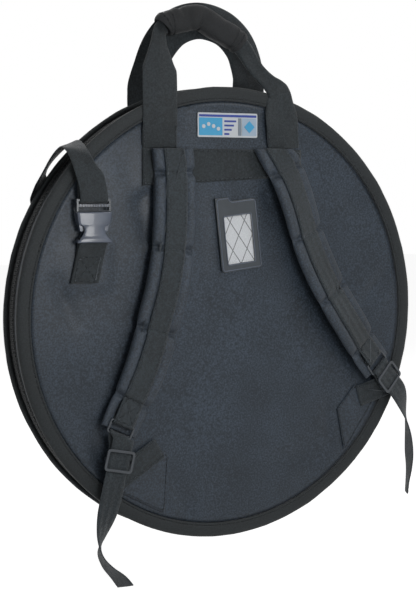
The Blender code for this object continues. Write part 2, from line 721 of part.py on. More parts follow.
def build_dividers(kinds, pivots):
    """Two fabric sheets that part the cymbals, hemmed down to the bottom of the bag."""
    for i, side in enumerate((-1, 1)):
        middle = side * DIVIDER_Y
        disc(f"divider_{i + 1}", DIVIDER_R, middle - DIVIDER_THICK / 2,
             middle + DIVIDER_THICK / 2, kinds["lining"], pivots[i], hem_r=INSIDE_R)


def build_sliders(kinds):
    """Two zip sliders that meet at the top, each with its pull lying along the rim."""
    half_long = SLIDER_LONG / TEETH_R / 2
    for name, side in (("left", 1), ("right", -1)):
        runner = add_pivot(f"zip_{name}_centre", (0, ZIP_Y, 0))
        middle = math.pi / 2 + side * SLIDER_ANGLE
        slot = ZIP_SLOT / 2 - GAP
        half = SLIDER_WIDE / 2
        inner = GUSSET_IN_R - RUN
        profile = [(inner - SLIDER_PLATE, -half), (inner - SLIDER_PLATE, half), (inner, half),
                   (inner, slot), (SLIDER_IN_R, slot), (SLIDER_IN_R, half),
                   (SLIDER_TOP_R, half), (SLIDER_TOP_R, -half), (SLIDER_IN_R, -half),
                   (SLIDER_IN_R, -slot), (inner, -slot), (inner, -half)]
        band(f"zip_slider_{name}", [(r, y + ZIP_Y) for r, y in profile], middle - half_long,
             SLIDER_STEPS, 2 * half_long / SLIDER_STEPS, kinds["metal"], runner)
        hinge = middle + side * half_long / 2
        eye_r = PULL_IN_R + PULL_THICK / 2
        hinge_place = (eye_r * math.cos(hinge), ZIP_Y, eye_r * math.sin(hinge))
        pivot = add_pivot(f"zip_pull_{name}_hinge", hinge_place, runner)
        start = hinge + side * PULL_START / eye_r
        profile = [(PULL_IN_R, -PULL_WIDE / 2), (PULL_IN_R, PULL_WIDE / 2),
                   (PULL_IN_R + PULL_THICK, PULL_WIDE / 2),
                   (PULL_IN_R + PULL_THICK, -PULL_WIDE / 2)]
        band(f"zip_pull_{name}", [(r, y + ZIP_Y) for r, y in profile], start, PULL_STEPS,
             side * PULL_LONG / eye_r / PULL_STEPS, kinds["metal"], pivot)


def build_yoke(kinds):
    """The wide webbing band sewn level across the back."""
    plate("yoke_patch", [[(YOKE_LEFT, YOKE_LOW), (YOKE_RIGHT, YOKE_LOW + YOKE_SLOPE_SHARE * RIM_R),
                          (YOKE_RIGHT, YOKE_HIGH), (YOKE_LEFT, YOKE_HIGH)]],
          GAP, GAP + WEB_THICK, kinds["webbing"])


def pad_line(shares, seams):
    """A pad's line with rows at its cross seams and between them, and each row's thickness."""
    fine = strap_line(shares, STRAP_BASE, PAD_LIFT, PAD_WIDE, PAD_LEAN)
    lengths = along_shares(fine.places, fine)
    stations = []
    thicknesses = []
    for low, high in zip(seams, seams[1:]):
        last = high == seams[-1]
        for station in PAD_STATION_SHARES:
            stations.append(low + station * (high - low))
            thicknesses.append(PAD_TONGUE if last and station > 0 else PAD_THICK)
    stations.append(seams[-1])
    thicknesses.append(PAD_TONGUE)

    def read(values):
        return np.interp(stations, lengths, values)

    places = np.stack([read([p[axis] for p in fine.places]) for axis in range(3)], axis=1)
    return Line(places, read(fine.widths), read(fine.leans)), thicknesses, stations


def build_pad(name, line, thicknesses, stations, seams, kind, parent):
    """One shoulder pad: puffed margins and centre, drawn in at the cross seams."""
    lower = []
    upper = []
    for i, thickness in enumerate(thicknesses):
        sewn = any(math.isclose(stations[i], seam) for seam in seams)
        low_row = []
        high_row = []
        for place, crown in zip(PAD_ACROSS_SHARES, PAD_CROWN_SHARES):
            margin = abs(place) > PAD_ACROSS_SHARES[-4]
            puff = crown * (SEAM_SHARE if sewn and margin else 1)
            spot = line.places[i] + line.sides[i] * place * line.widths[i] / 2
            low_row.append(spot)
            high_row.append(spot + line.normals[i] * thickness * puff)
        lower.append(low_row)
        upper.append(high_row)
    return slab(name, lower, upper, kind, parent)


def raised_line(line, rise, wide, count):
    """The first rows of a line, moved out by a rise and given one width."""
    lifted = [place + normal * rise for place, normal in zip(line.places, line.normals)]
    made = Line(lifted[:count], [wide] * count, line.leans[:count])
    made.sides = line.sides[:count]
    made.normals = line.normals[:count]
    return made


def build_glide(name, tail, share, kinds, parent):
    """A tri-glide: a frame over the webbing and a middle bar under it."""
    centre, _, side, normal = tail.at(share)
    turn = frame_matrix(centre, side, normal)
    over = WEB_THICK / 2 + RUN
    inner_wide = GLIDE_WIDE - 2 * GLIDE_RAIL
    inner_long = GLIDE_LONG - 2 * GLIDE_RAIL
    glide = plate(name, [rounded(0, 0, GLIDE_WIDE, GLIDE_LONG, CORNER_R),
                         rounded(0, 0, inner_wide, inner_long, CORNER_R / 2)],
                  over, over + GLIDE_THICK, kinds["plastic"], parent, turn)
    half_bar = GLIDE_RAIL / 2
    half_post = half_bar + GAP
    reach = (GLIDE_WIDE - GLIDE_RAIL) / 2
    edge = GLIDE_WIDE / 2 - GAP
    deep = over + GLIDE_THICK / 2
    for label, low, high in (
            ("bar", (-reach, over, -half_bar), (reach, over + GLIDE_THICK, half_bar)),
            ("left_post", (-edge, -deep, -half_post), (-inner_wide / 2 - GAP, deep, half_post)),
            ("right_post", (inner_wide / 2 + GAP, -deep, -half_post), (edge, deep, half_post))):
        cutting(glide, box(f"{name}_{label}", low, high, kinds["cutter"], turn), "UNION")


def build_strap(side, tables, kinds, lift):
    """One shoulder strap: pad, webbing, ring, tri-glide, tail, anchor webbing and sewn tab."""
    pad_table, seams, tail_table, ring_share, glide_share, anchor_table, tab_table = tables
    line, thicknesses, stations = pad_line(pad_table, seams)
    build_pad(f"pad_{side}", line, thicknesses, stations, seams, kinds["nylon"], lift)
    count = len([s for s in stations if s < seams[-2] + GAP])
    web_rise = PAD_THICK * max(PAD_CROWN_SHARES[3:6]) + RUN + WEB_THICK / 2
    webbing(f"pad_webbing_{side}", raised_line(line, web_rise, STRAP_WEB, count),
            kinds["webbing"], lift)
    centre, along, across, normal = line.at(ring_share)
    middle = centre + normal * RING_PROUD
    wire_loop(f"ring_{side}", RING_WIDE, RING_LONG, kinds["plastic"], lift,
              frame_matrix(middle, across, normal))
    reach = RING_LONG / 2 - WIRE_R
    top_bar = middle - along * reach
    start = line.places[count - 1] + line.normals[count - 1] * web_rise
    loop = [start + (top_bar + normal * TURN_R - start).normalized() * RUN]
    loop += half_turn(top_bar, along, normal, TURN_R)
    loop.append(loop[-1] - along * HOLD_LONG)
    path_webbing(f"ring_loop_{side}", loop, [across] * len(loop), STRAP_WEB,
                 kinds["webbing"], lift)
    tail = strap_line(tail_table, 0, PAD_LIFT, STRAP_WEB, math.pi)
    low_bar = middle + along * reach
    bend = half_turn(low_bar, -along, normal, TURN_R)[::-1]
    run = tail.places[3] - tail.places[0]
    drop, lift_share = RETURN_SHARES
    back = tail.places[0] + run * drop
    back.y = -FACE_Y - TAB_THICK - STRAP_BASE - PAD_LIFT * lift_share
    end = back + run
    places = [end, back] + bend + tail.places
    sides = [-tail.sides[0]] * 2 + [-across] * len(bend) + [-s for s in tail.sides]
    path_webbing(f"adjuster_webbing_{side}", places, sides, STRAP_WEB, kinds["webbing"], lift)
    slide = add_pivot(f"{side}_glide_slide", tail.at(glide_share)[0], lift)
    build_glide(f"tri_glide_{side}", tail, glide_share, kinds, slide)
    rows = smooth(anchor_table, LINE_STEPS)
    places = [(x * RIM_R, -FACE_Y - TAB_THICK - GAP - ON_PANEL - share * PAD_LIFT + PAD_LIFT
               * anchor_table[0][2], height * RIM_R) for x, height, share in rows]
    anchor = Line(places, [STRAP_WEB] * len(places), [0] * len(places))
    webbing(f"anchor_webbing_{side}", anchor, kinds["webbing"], lift)
    plate(f"anchor_tab_{side}", [[(x * RIM_R, height * RIM_R) for x, height in tab_table]],
          GAP, GAP + TAB_THICK, kinds["nylon"])


def leg_line(x_low, x_high, low, high):
    """The sewn part of a handle, from the panel up over the binding."""
    places = []
    for share, rise in LEG_STATION_SHARES:
        proud = ON_PANEL + rise * BINDING_PROUD
        places.append((x_low + (x_high - x_low) * share, -FACE_Y - proud,
                       low + (high - low) * share))
    return places


def handle_line(shares, side, grip_y):
    """A handle's free line, leaning in from the face of the body to its grip."""
    rows = smooth(shares, LINE_STEPS)
    start = side * (FACE_Y + ON_BINDING)
    places = [(x * RIM_R, start + (grip_y - start) * inward, height * RIM_R)
              for x, height, _, inward in rows]
    line = Line(places, rows[:, 2] * HANDLE_WEB, [0] * len(places))
    for end in (0, 1, 2, 3, 4, -5, -4, -3, -2, -1):
        line.sides[end] = Vector((math.copysign(1, line.sides[end].x), 0, 0))
        line.normals[end] = Vector((0, math.copysign(1, line.normals[end].y), 0))
    return line


def build_back_handle(kinds, fold):
    """The back handle: sewn legs, free webbing and the padded grip round it."""
    level = [Vector((1, 0, 0))] * len(LEG_STATION_SHARES)
    for name, (low_x, high_x) in zip(("left", "right"), BACK_LEG_SHARES):
        places = leg_line(low_x * RIM_R, high_x * RIM_R, YOKE_HIGH + GAP, FOLD_HEIGHT - GAP)
        path_webbing(f"back_handle_leg_{name}", places, level, HANDLE_WEB, kinds["webbing"])
    line = handle_line(BACK_HANDLE_SHARES, -1, BACK_HANDLE_Y)
    webbing("back_handle_webbing", line, kinds["webbing"], fold)
    shares = along_shares(line.places, line)
    rows = [i for i, share in enumerate(shares)
            if GRIP_SPAN_SHARES[0] < share < GRIP_SPAN_SHARES[1]]
    grip_line = Line(line.places, [GRIP_HIGH] * len(line.places), line.leans)
    part = slice(rows[0], rows[-1] + 1)
    wider = slice(rows[0] - 1, rows[-1] + 2)
    for source in (grip_line, line):
        span = part if source is grip_line else wider
        for label in ("places", "widths", "leans", "alongs", "sides", "normals"):
            setattr(source, label, getattr(source, label)[span])
    thicknesses = [GRIP_THICK / 2] * len(grip_line.places)
    grip = padded("carry_grip", grip_line, thicknesses, GRIP_ACROSS_SHARES,
                  GRIP_CROWN_SHARES, kinds["nylon"], fold, both_sides=True)
    tunnel = webbing("grip_tunnel", line, kinds["cutter"], None, WEB_THICK + 2 * GAP, GAP)
    cutting(grip, tunnel)


def build_front_handle(kinds, cover, fold):
    """The cover's handle: legs sewn on its binding, and the free webbing."""
    start = FACE_Y + ON_BINDING
    for name, share in zip(("left", "right"), FRONT_LEG_SHARES):
        x = share * RIM_R
        near = abs(x) - HANDLE_WEB / 2
        low = math.sqrt(BINDING_IN_R ** 2 - near ** 2) + GAP
        places = [(x, start, low), (x, start, FOLD_HEIGHT - GAP)]
        path_webbing(f"front_handle_leg_{name}", places, [Vector((1, 0, 0))] * 2, HANDLE_WEB,
                     kinds["webbing"], cover)
    line = handle_line(FRONT_HANDLE_SHARES, 1, FRONT_HANDLE_Y)
    webbing("front_handle_webbing", line, kinds["webbing"], fold)


def build_badge(kinds):
    """The raised label near the top."""
    plate("badge", [rounded(0, BADGE_HEIGHT, BADGE_WIDE, BADGE_HIGH, BADGE_CORNER)], GAP,
          GAP + BADGE_THICK, kinds["badge"])


def build_card_holder(kinds, slide):
    """The tilted card holder with its pocket, clear window and card."""
    turn = on_face(HOLDER_X, HOLDER_HEIGHT, HOLDER_TILT)
    outline = rounded(0, 0, HOLDER_WIDE, HOLDER_HIGH, CORNER_R)
    corner = CORNER_STEPS + 1
    left = -HOLDER_WIDE / 2
    top = HOLDER_HIGH / 2
    ear = [(left + EAR_WIDE + EAR_HIGH, top), (left + EAR_WIDE, top + EAR_HIGH),
           (left, top + EAR_HIGH)]
    outline[corner:2 * corner] = ear
    window = rounded(0, -CARD_DROP, WINDOW_WIDE, WINDOW_HIGH, WINDOW_CORNER)
    holder = plate("id_holder_frame", [outline], GAP, GAP + HOLDER_THICK, kinds["dark"], None,
                   turn)
    pocket_top = POCKET_PROUD + POCKET_THICK
    opening = plate("window_opening", [window], POCKET_PROUD + GAP, HOLDER_THICK + OVERRUN,
                    kinds["cutter"], None, turn)
    low = (-CARD_WIDE / 2 - RUN, -pocket_top, -CARD_DROP - CARD_HIGH / 2 - RUN)
    high = (CARD_WIDE / 2 + RUN, -POCKET_PROUD, top + EAR_HIGH + OVERRUN)
    pocket = box("card_pocket", low, high, kinds["cutter"], turn)
    cutting(holder, pocket)
    cutting(holder, opening)
    pane = rounded(0, -CARD_DROP, WINDOW_WIDE - 2 * GAP, WINDOW_HIGH - 2 * GAP,
                   WINDOW_CORNER - GAP)
    front = GAP + HOLDER_THICK - GAP
    plate("id_holder_window", [pane], front - WINDOW_THICK, front, kinds["clear"], None, turn)
    middle = (POCKET_PROUD + pocket_top) / 2
    card = rounded(0, -CARD_DROP, CARD_WIDE, CARD_HIGH, WINDOW_CORNER)
    plate("id_card", [card], middle - CARD_THICK / 2, middle + CARD_THICK / 2, kinds["card"],
          slide, turn)


def thin_end(item, low, high, thick, kinds, turn):
    """Thin the end of a buckle half to its webbing bar, by a cutter on each face."""
    for label, side in (("outer", -1), ("inner", 1)):
        near = -BUCKLE_PROUD + side * BAR / 2
        far = -BUCKLE_PROUD + side * (thick / 2 + OVERRUN)
        reach = BUCKLE_HALF + OVERRUN
        cutter = box(f"{item.name}_{label}_end", (-reach, min(near, far), low),
                     (reach, max(near, far), high), kinds["cutter"], turn)
        cutting(item, cutter)


def build_buckle(kinds, prongs):
    """The side release buckle and the box stitched tab that holds its lower half."""
    turn = on_face(BUCKLE_X, BUCKLE_MEET, 0)
    waist_low = -SLEEVE_LONG - WINDOW_LONG
    outline = [(-BUCKLE_HALF, 0), (-BUCKLE_HALF, -SLEEVE_LONG),
               (-WAIST_HALF, -SLEEVE_LONG - WAIST_SLOPE), (-WAIST_HALF, waist_low + WAIST_SLOPE),
               (-BUCKLE_HALF, waist_low), (-BUCKLE_HALF, -FEMALE_LONG)]
    outline += [(-x, z) for x, z in outline[::-1]]
    slot_half = BUCKLE_HALF - BAR
    slot = [(-slot_half, -FEMALE_LONG + BAR), (slot_half, -FEMALE_LONG + BAR),
            (slot_half, -FEMALE_LONG + BAR + SLOT_LONG),
            (-slot_half, -FEMALE_LONG + BAR + SLOT_LONG)]
    female = plate("buckle_female", [outline, slot], BUCKLE_PROUD - FEMALE_THICK / 2,
                   BUCKLE_PROUD + FEMALE_THICK / 2, kinds["plastic"], None, turn)
    cavity = box("buckle_cavity",
                 (-CAVITY_HALF, -BUCKLE_PROUD - CAVITY_HIGH / 2, -CAVITY_LONG),
                 (CAVITY_HALF, -BUCKLE_PROUD + CAVITY_HIGH / 2, OVERRUN), kinds["cutter"], turn)
    cutting(female, cavity)
    thin_end(female, -FEMALE_LONG - OVERRUN, -FEMALE_LONG + BAR + SLOT_LONG + GAP,
             FEMALE_THICK, kinds, turn)
    male_outline = [(-BUCKLE_HALF, GAP), (BUCKLE_HALF, GAP), (BUCKLE_HALF, MALE_LONG),
                    (-BUCKLE_HALF, MALE_LONG)]
    bar_low = MALE_LONG - BAR
    male_slot = [(-slot_half, bar_low - SLOT_LONG), (slot_half, bar_low - SLOT_LONG),
                 (slot_half, bar_low), (-slot_half, bar_low)]
    male = plate("buckle_male", [male_outline, male_slot], BUCKLE_PROUD - MALE_THICK / 2,
                 BUCKLE_PROUD + MALE_THICK / 2, kinds["plastic"], None, turn)
    thin_end(male, bar_low - SLOT_LONG - GAP, MALE_LONG + OVERRUN, MALE_THICK, kinds, turn)
    for name, side in (("left", -1), ("right", 1)):
        inner = PRONG_X - PRONG_WIDE / 2
        outer = PRONG_X + PRONG_WIDE / 2
        tip = -PRONG_LONG
        barb = -SLEEVE_LONG - RUN
        arm = [(inner, -GAP), (outer, -GAP), (outer, barb), (outer + PRONG_BULGE, barb),
               (outer, tip), (inner, tip)]
        plate(f"buckle_prong_{name}", [[(side * x, z) for x, z in arm]],
              BUCKLE_PROUD - PRONG_THICK / 2, BUCKLE_PROUD + PRONG_THICK / 2,
              kinds["plastic"], prongs[name], turn)
    bar = Vector((BUCKLE_X, -FACE_Y - BUCKLE_PROUD, BUCKLE_MEET - FEMALE_LONG + BAR / 2))
    out = Vector((0, -1, 0))
    bend = half_turn(bar, Vector((0, 0, 1)), out, BAR_TURN_R)
    (near_x, near_z), (far_x, far_z) = BUCKLE_TAB_SHARES
    near = Vector((near_x * RIM_R, -FACE_Y - ON_PANEL, near_z * RIM_R))
    far = Vector((far_x * RIM_R, -FACE_Y - ON_PANEL, far_z * RIM_R))
    over = out * (WEB_THICK + GAP)
    places = [far + over, near + over] + bend + [near, far]
    path_webbing("buckle_tab", places, [Vector((1, 0, 0))] * len(places), CLOSURE_WEB,
                 kinds["webbing"])


def build_closure(kinds, cover):
    """The closure strap from the buckle over the rim, and its end sewn on the cover."""
    out = Vector((0, -1, 0))
    bar = Vector((BUCKLE_X, -FACE_Y - BUCKLE_PROUD, BUCKLE_MEET + MALE_LONG - BAR / 2))
    bend = half_turn(bar, Vector((0, 0, -1)), out, BAR_TURN_R)[::-1]
    back = bend[0] + Vector((0, 0, CLOSURE_WEB * CLOSURE_RETURN_SHARE))
    back.y = -FACE_Y - ON_PANEL
    face = FACE_Y + ON_BINDING + GAP
    ends = [Vector((x * RIM_R, face + rise * ANCHOR_RISE, height * RIM_R))
            for x, height, rise, *_ in ANCHOR_SHARES]
    end_sides = [Vector(row[3:]) for row in ANCHOR_SHARES]
    rows = smooth(CLOSURE_SHARES, LINE_STEPS)
    over = [Vector((row[0] * RIM_R, row[1] * FACE_Y, row[2] * RIM_R)) for row in rows]
    meeting = ends[0] + (over[-1] - ends[0]).normalized() * WEB_THICK
    places = [back] + bend + over + [meeting]
    sides = [Vector((1, 0, 0))] * (1 + len(bend)) + [Vector(row[3:]) for row in rows]
    path_webbing("closure_strap", places, sides + end_sides[:1], CLOSURE_WEB, kinds["webbing"])
    path_webbing("closure_anchor", ends, end_sides, CLOSURE_WEB, kinds["webbing"], cover)


def build():
    """Model the whole bag."""
    clear_scene()
    parts = new_collection("cymbal_bag")
    cutters = new_collection("cutters", hidden=True)
    new_collection("pivots")
    finishes = {
        "nylon": finish("black_nylon", BLACK_NYLON, 0.75),
        "webbing": finish("black_webbing", BLACK_WEBBING, 0.85),
        "tape": finish("binding_tape", DARK_TAPE, 0.80),
        "foam": finish("foam", GREY_FOAM, 0.90),
        "lining": finish("lining", BLACK_NYLON, 0.80),
        "plastic": finish("grey_plastic", GREY_PLASTIC, 0.35),
        "dark": finish("dark_plastic", DARK_PLASTIC, 0.40),
        "zip": finish("zip_tape", DARK_TAPE, 0.70),
        "metal": finish("zip_metal", ZIP_METAL, 0.40, 1.0),
        "badge": finish("badge_rubber", BADGE_BLUE, 0.45),
        "card": finish("card", CARD_WHITE, 0.60),
        "clear": finish("clear_window", CLEAR_PLASTIC, 0.10, 0.0, 0.35),
    }
    kinds = {name: (parts, material) for name, material in finishes.items()}
    kinds["cutter"] = (cutters, None)
    hinge = (0, HINGE_Y, -RIM_R - GAP)
    cover = add_pivot("cover_hinge", hinge)
    build_body(kinds, cover)
    build_dividers(kinds, [add_pivot(f"divider_{i + 1}_hinge", hinge) for i in range(2)])
    build_sliders(kinds)
    build_yoke(kinds)
    tables = {
        "left": (LEFT_PAD_SHARES, LEFT_SEAM_SHARES, LEFT_TAIL_SHARES, LEFT_RING_SHARE,
                 LEFT_GLIDE_SHARE, LEFT_ANCHOR_SHARES, LEFT_TAB_SHARES),
        "right": (RIGHT_PAD_SHARES, RIGHT_SEAM_SHARES, RIGHT_TAIL_SHARES, RIGHT_RING_SHARE,
                  RIGHT_GLIDE_SHARE, RIGHT_ANCHOR_SHARES, RIGHT_TAB_SHARES),
    }
    for side, share in (("left", LIFT_LEFT_SHARE), ("right", LIFT_RIGHT_SHARE)):
        lift = add_pivot(f"{side}_strap_lift", (share * RIM_R, -FACE_Y - ON_PANEL, YOKE_HIGH))
        build_strap(side, tables[side], kinds, lift)
    back_fold = add_pivot("back_handle_fold", (0, -FACE_Y - FOLD_PROUD, FOLD_HEIGHT))
    front_fold = add_pivot("front_handle_fold", (0, FACE_Y + FOLD_PROUD, FOLD_HEIGHT), cover)
    build_back_handle(kinds, back_fold)
    build_front_handle(kinds, cover, front_fold)
    build_badge(kinds)
    build_card_holder(kinds, add_pivot("card_slide", (HOLDER_X, -FACE_Y, HOLDER_HEIGHT)))
    hinge_x = {"left": BUCKLE_X - PRONG_X, "right": BUCKLE_X + PRONG_X}
    prongs = {name: add_pivot(f"prong_{name}_hinge", (x, -FACE_Y - BUCKLE_PROUD, BUCKLE_MEET))
              for name, x in hinge_x.items()}
    build_buckle(kinds, prongs)
    build_closure(kinds, cover)


build()
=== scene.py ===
"""Looks for a round soft bag for cymbals: quilted nylon shell, bound edges, zip, rucksack straps,
two handles, closure strap with its buckle, badge and card holder.

Metres, +Z up. The strap side faces -Y. Places on the round body are given as x and a height above
its centre, and move down to the hanging bag when a piece is finished.
"""

import logging
import math
from collections.abc import Callable, Sequence
from dataclasses import dataclass, field
from enum import Enum

import bmesh
import bpy
import numpy as np
from mathutils import Matrix, Vector, noise


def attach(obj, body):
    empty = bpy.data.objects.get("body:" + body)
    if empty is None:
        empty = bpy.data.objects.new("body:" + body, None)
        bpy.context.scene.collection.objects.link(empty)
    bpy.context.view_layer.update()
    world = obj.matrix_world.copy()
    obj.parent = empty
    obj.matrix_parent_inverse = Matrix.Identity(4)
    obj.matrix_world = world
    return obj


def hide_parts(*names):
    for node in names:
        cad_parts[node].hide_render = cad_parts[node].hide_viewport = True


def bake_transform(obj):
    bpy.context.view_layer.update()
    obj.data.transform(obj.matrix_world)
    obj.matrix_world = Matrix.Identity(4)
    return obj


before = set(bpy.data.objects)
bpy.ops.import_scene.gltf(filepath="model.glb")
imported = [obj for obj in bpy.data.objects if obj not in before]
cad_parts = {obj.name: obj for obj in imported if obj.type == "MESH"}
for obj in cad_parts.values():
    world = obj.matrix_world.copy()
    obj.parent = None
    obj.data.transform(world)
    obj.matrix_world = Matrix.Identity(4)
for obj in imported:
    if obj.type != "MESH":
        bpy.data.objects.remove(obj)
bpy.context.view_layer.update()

LOG = logging.getLogger("cymbal_bag")
UV_NAME = "cloth"
EDGE_NAME = "edge"


@dataclass(frozen=True)
class Bag:
    """Sizes that every sub-assembly follows, as in the solids."""

    rim_r: float = 0.300
    face_y: float = 0.023
    grip_rise: float = 0.378
    gap: float = 0.0003
    run: float = 0.0006
    web: float = 0.0018
    binding_wide: float = 0.0187
    binding_proud: float = 0.0019
    strap_web: float = 0.030
    handle_web: float = 0.050
    closure_web: float = 0.0385
    yoke_low: float = 0.170
    yoke_high: float = 0.218
    fold_height: float = 0.292
    # Middle of the card holder, as x and height, and its tilt
    holder: tuple[float, float] = (0.0160, 0.1040)
    holder_tilt: float = math.radians(6.5)
    stitch_proud: float = 0.0002

    @property
    def on_panel(self) -> float:
        """Distance from the panel to the middle of a webbing sewn on it."""
        return self.gap + self.web / 2

    @property
    def on_binding(self) -> float:
        """Distance from the panel to the middle of a webbing that lies on the binding."""
        return self.binding_proud + self.on_panel

    @property
    def on_web(self) -> float:
        """Distance from a webbing's middle to the middle of the stitches on it."""
        return self.web / 2 + self.stitch_proud

    @property
    def merge(self) -> float:
        """Distance within which doubled vertices are one."""
        return self.gap / 30


BAG = Bag()
CENTRE = Vector((0, 0, -BAG.grip_rise))


# Finishes


def linear(code: str) -> tuple[float, float, float, float]:
    """Turn an sRGB hex colour to linear light.

    Args:
        code: The colour as "#rrggbb".

    Returns:
        Red, green, blue and an alpha of 1.
    """
    parts = [int(code[i:i + 2], 16) / 255 for i in (1, 3, 5)]
    made = [p / 12.92 if p <= 0.04045 else ((p + 0.055) / 1.055) ** 2.4 for p in parts]
    return (*made, 1.0)


def feed(tree: bpy.types.NodeTree, node: bpy.types.Node, inputs: dict) -> None:
    """Set or link a node's inputs.

    Args:
        tree: The node tree.
        node: The node.
        inputs: Values, sockets, or nodes for their first socket, by input name or number.
    """
    for name, value in inputs.items():
        if isinstance(value, bpy.types.Node):
            value = value.outputs[0]
        if isinstance(value, bpy.types.NodeSocket):
            tree.links.new(value, node.inputs[name])
        else:
            node.inputs[name].default_value = value


def add_node(tree: bpy.types.NodeTree, kind: str, settings: dict | None = None,
             inputs: dict | None = None) -> bpy.types.Node:
    """Add one shader node.

    Args:
        tree: The node tree.
        kind: The node's type, without its first word.
        settings: Its attributes by name.
        inputs: Its inputs, as feed takes them.

    Returns:
        The node.
    """
    made = tree.nodes.new(f"ShaderNode{kind}")
    for name, value in (settings or {}).items():
        setattr(made, name, value)
    feed(tree, made, inputs or {})
    return made


def start_material(name: str) -> tuple[bpy.types.Material, bpy.types.NodeTree, bpy.types.Node]:
    """Return a new material with its node tree and its shader."""
    made = bpy.data.materials.new(name)
    made.use_nodes = True
    return made, made.node_tree, made.node_tree.nodes["Principled BSDF"]


class Weave(Enum):
    """How a cloth's threads lie."""

    PLAIN = "plain"
    HERRINGBONE = "herringbone"
    RIBBED = "ribbed"


@dataclass(frozen=True)
class Cloth:
    """A woven finish that follows the piece's own UV map, which is in metres."""

    name: str
    colour: str
    thread_colour: str
    weave: Weave
    thread_mm: float
    roughness: float = 0.85
    sheen: float = 0.15
    bump_mm: float = 0.25
    blotch_mm: float = 60.0
    column_mm: float = 7.5
    edge_light: float = 0.0
    # Size of the fuzz in threads, and how much each pattern lights the cloth
    fuzz_size: float = 1 / 0.76
    thread_light: float = 0.22
    fuzz_light: float = 3.2
    blotch_light: float = 0.90
    shade: float = 1.68
    edge_power: float = 14.0

    def pattern(self, tree: bpy.types.NodeTree, across: bpy.types.NodeSocket,
                along: bpy.types.NodeSocket) -> bpy.types.Node:
        """Draw the threads.

        Args:
            tree: The material's node tree.
            across: Place across the cloth, in metres.
            along: Place along it, in metres.

        Returns:
            The node with a height from -1 to 1.
        """
        if self.weave is Weave.HERRINGBONE:
            column = add_node(tree, "Math", {"operation": "PINGPONG"},
                              {0: across, 1: self.column_mm / 1000})
            along = add_node(tree, "Math", {"operation": "ADD"}, {0: along, 1: column})
        waves_made = []
        for place in ((across, along) if self.weave is Weave.PLAIN else (along,)):
            turns = add_node(tree, "Math", {"operation": "MULTIPLY"},
                             {0: place, 1: math.tau * 1000 / self.thread_mm})
            waves_made.append(add_node(tree, "Math", {"operation": "SINE"}, {0: turns}))
        if len(waves_made) == 1:
            return waves_made[0]
        return add_node(tree, "Math", {"operation": "MULTIPLY"}, dict(enumerate(waves_made)))

    def material(self) -> bpy.types.Material:
        """Build the material.

        Returns:
            The woven material.
        """
        made, tree, shader = start_material(self.name)
        uv = add_node(tree, "UVMap", {"uv_map": UV_NAME})
        parts = add_node(tree, "SeparateXYZ", inputs={0: uv})
        threads = self.pattern(tree, parts.outputs[0], parts.outputs[1])
        place = add_node(tree, "TexCoord").outputs["Object"]
        fuzz, blotch = [
            add_node(tree, "TexNoise", inputs={"Scale": 1000 / size, "Detail": 3.0, "Vector": place})
            for size in (self.thread_mm * self.fuzz_size, self.blotch_mm)]
        worn = add_node(tree, "Attribute", {"attribute_name": EDGE_NAME})
        rim = add_node(tree, "Math", {"operation": "POWER"},
                       {0: worn.outputs["Fac"], 1: self.edge_power})
        light = add_node(tree, "Math", {"operation": "MULTIPLY"},
                         {0: threads, 1: self.thread_light})
        for source, share in ((fuzz, self.fuzz_light), (blotch, self.blotch_light),
                              (rim, self.edge_light)):
            light = add_node(tree, "Math", {"operation": "MULTIPLY_ADD"},
                             {0: source, 1: share, 2: light})
        light = add_node(tree, "Math", {"operation": "SUBTRACT"}, {0: light, 1: self.shade})
        colours = add_node(tree, "Mix", {"data_type": "RGBA"},
                           {0: light, 6: linear(self.colour), 7: linear(self.thread_colour)})
        height = add_node(tree, "Math", {"operation": "MULTIPLY_ADD"}, {0: fuzz, 1: 0.8, 2: threads})
        bump = add_node(tree, "Bump", inputs={"Strength": 0.7, "Distance": self.bump_mm / 1000,
                                              "Height": height})
        feed(tree, shader, {"Base Color": colours.outputs[2], "Normal": bump,
                            "Roughness": self.roughness, "Sheen Weight": self.sheen,
                            "Sheen Roughness": 0.55, "Specular IOR Level": 0.30})
        return made


@dataclass(frozen=True)
class Moulded:
    """A moulded or coated hard finish with a fine grain and soft flow marks."""

    name: str
    colour: str
    marks: str
    roughness: float
    grain_mm: float = 0.6
    grain_deep_mm: float = 0.02
    metallic: float = 0.0
    coat: float = 0.0
    # Size of the flow marks, and how far the roughness varies with them
    flow_mm: float = 1000 / 70
    rough_range: float = 0.16

    def material(self) -> bpy.types.Material:
        """Build the material.

        Returns:
            The moulded material.
        """
        made, tree, shader = start_material(self.name)
        place = add_node(tree, "TexCoord").outputs["Object"]
        flow, grain = [
            add_node(tree, "TexNoise", inputs={"Scale": 1000 / size, "Detail": detail,
                                               "Vector": place})
            for size, detail in ((self.flow_mm, 4.0), (self.grain_mm, 1.0))]
        colours = add_node(tree, "Mix", {"data_type": "RGBA"},
                           {0: flow, 6: linear(self.colour), 7: linear(self.marks)})
        rough = add_node(tree, "Math", {"operation": "MULTIPLY_ADD"},
                         {0: flow, 1: self.rough_range, 2: self.roughness - self.rough_range / 2})
        bump = add_node(tree, "Bump", inputs={
            "Strength": 0.5, "Distance": self.grain_deep_mm / 1000, "Height": grain})
        feed(tree, shader, {"Base Color": colours.outputs[2], "Roughness": rough, "Normal": bump,
                            "Metallic": self.metallic, "Coat Weight": self.coat})
        return made


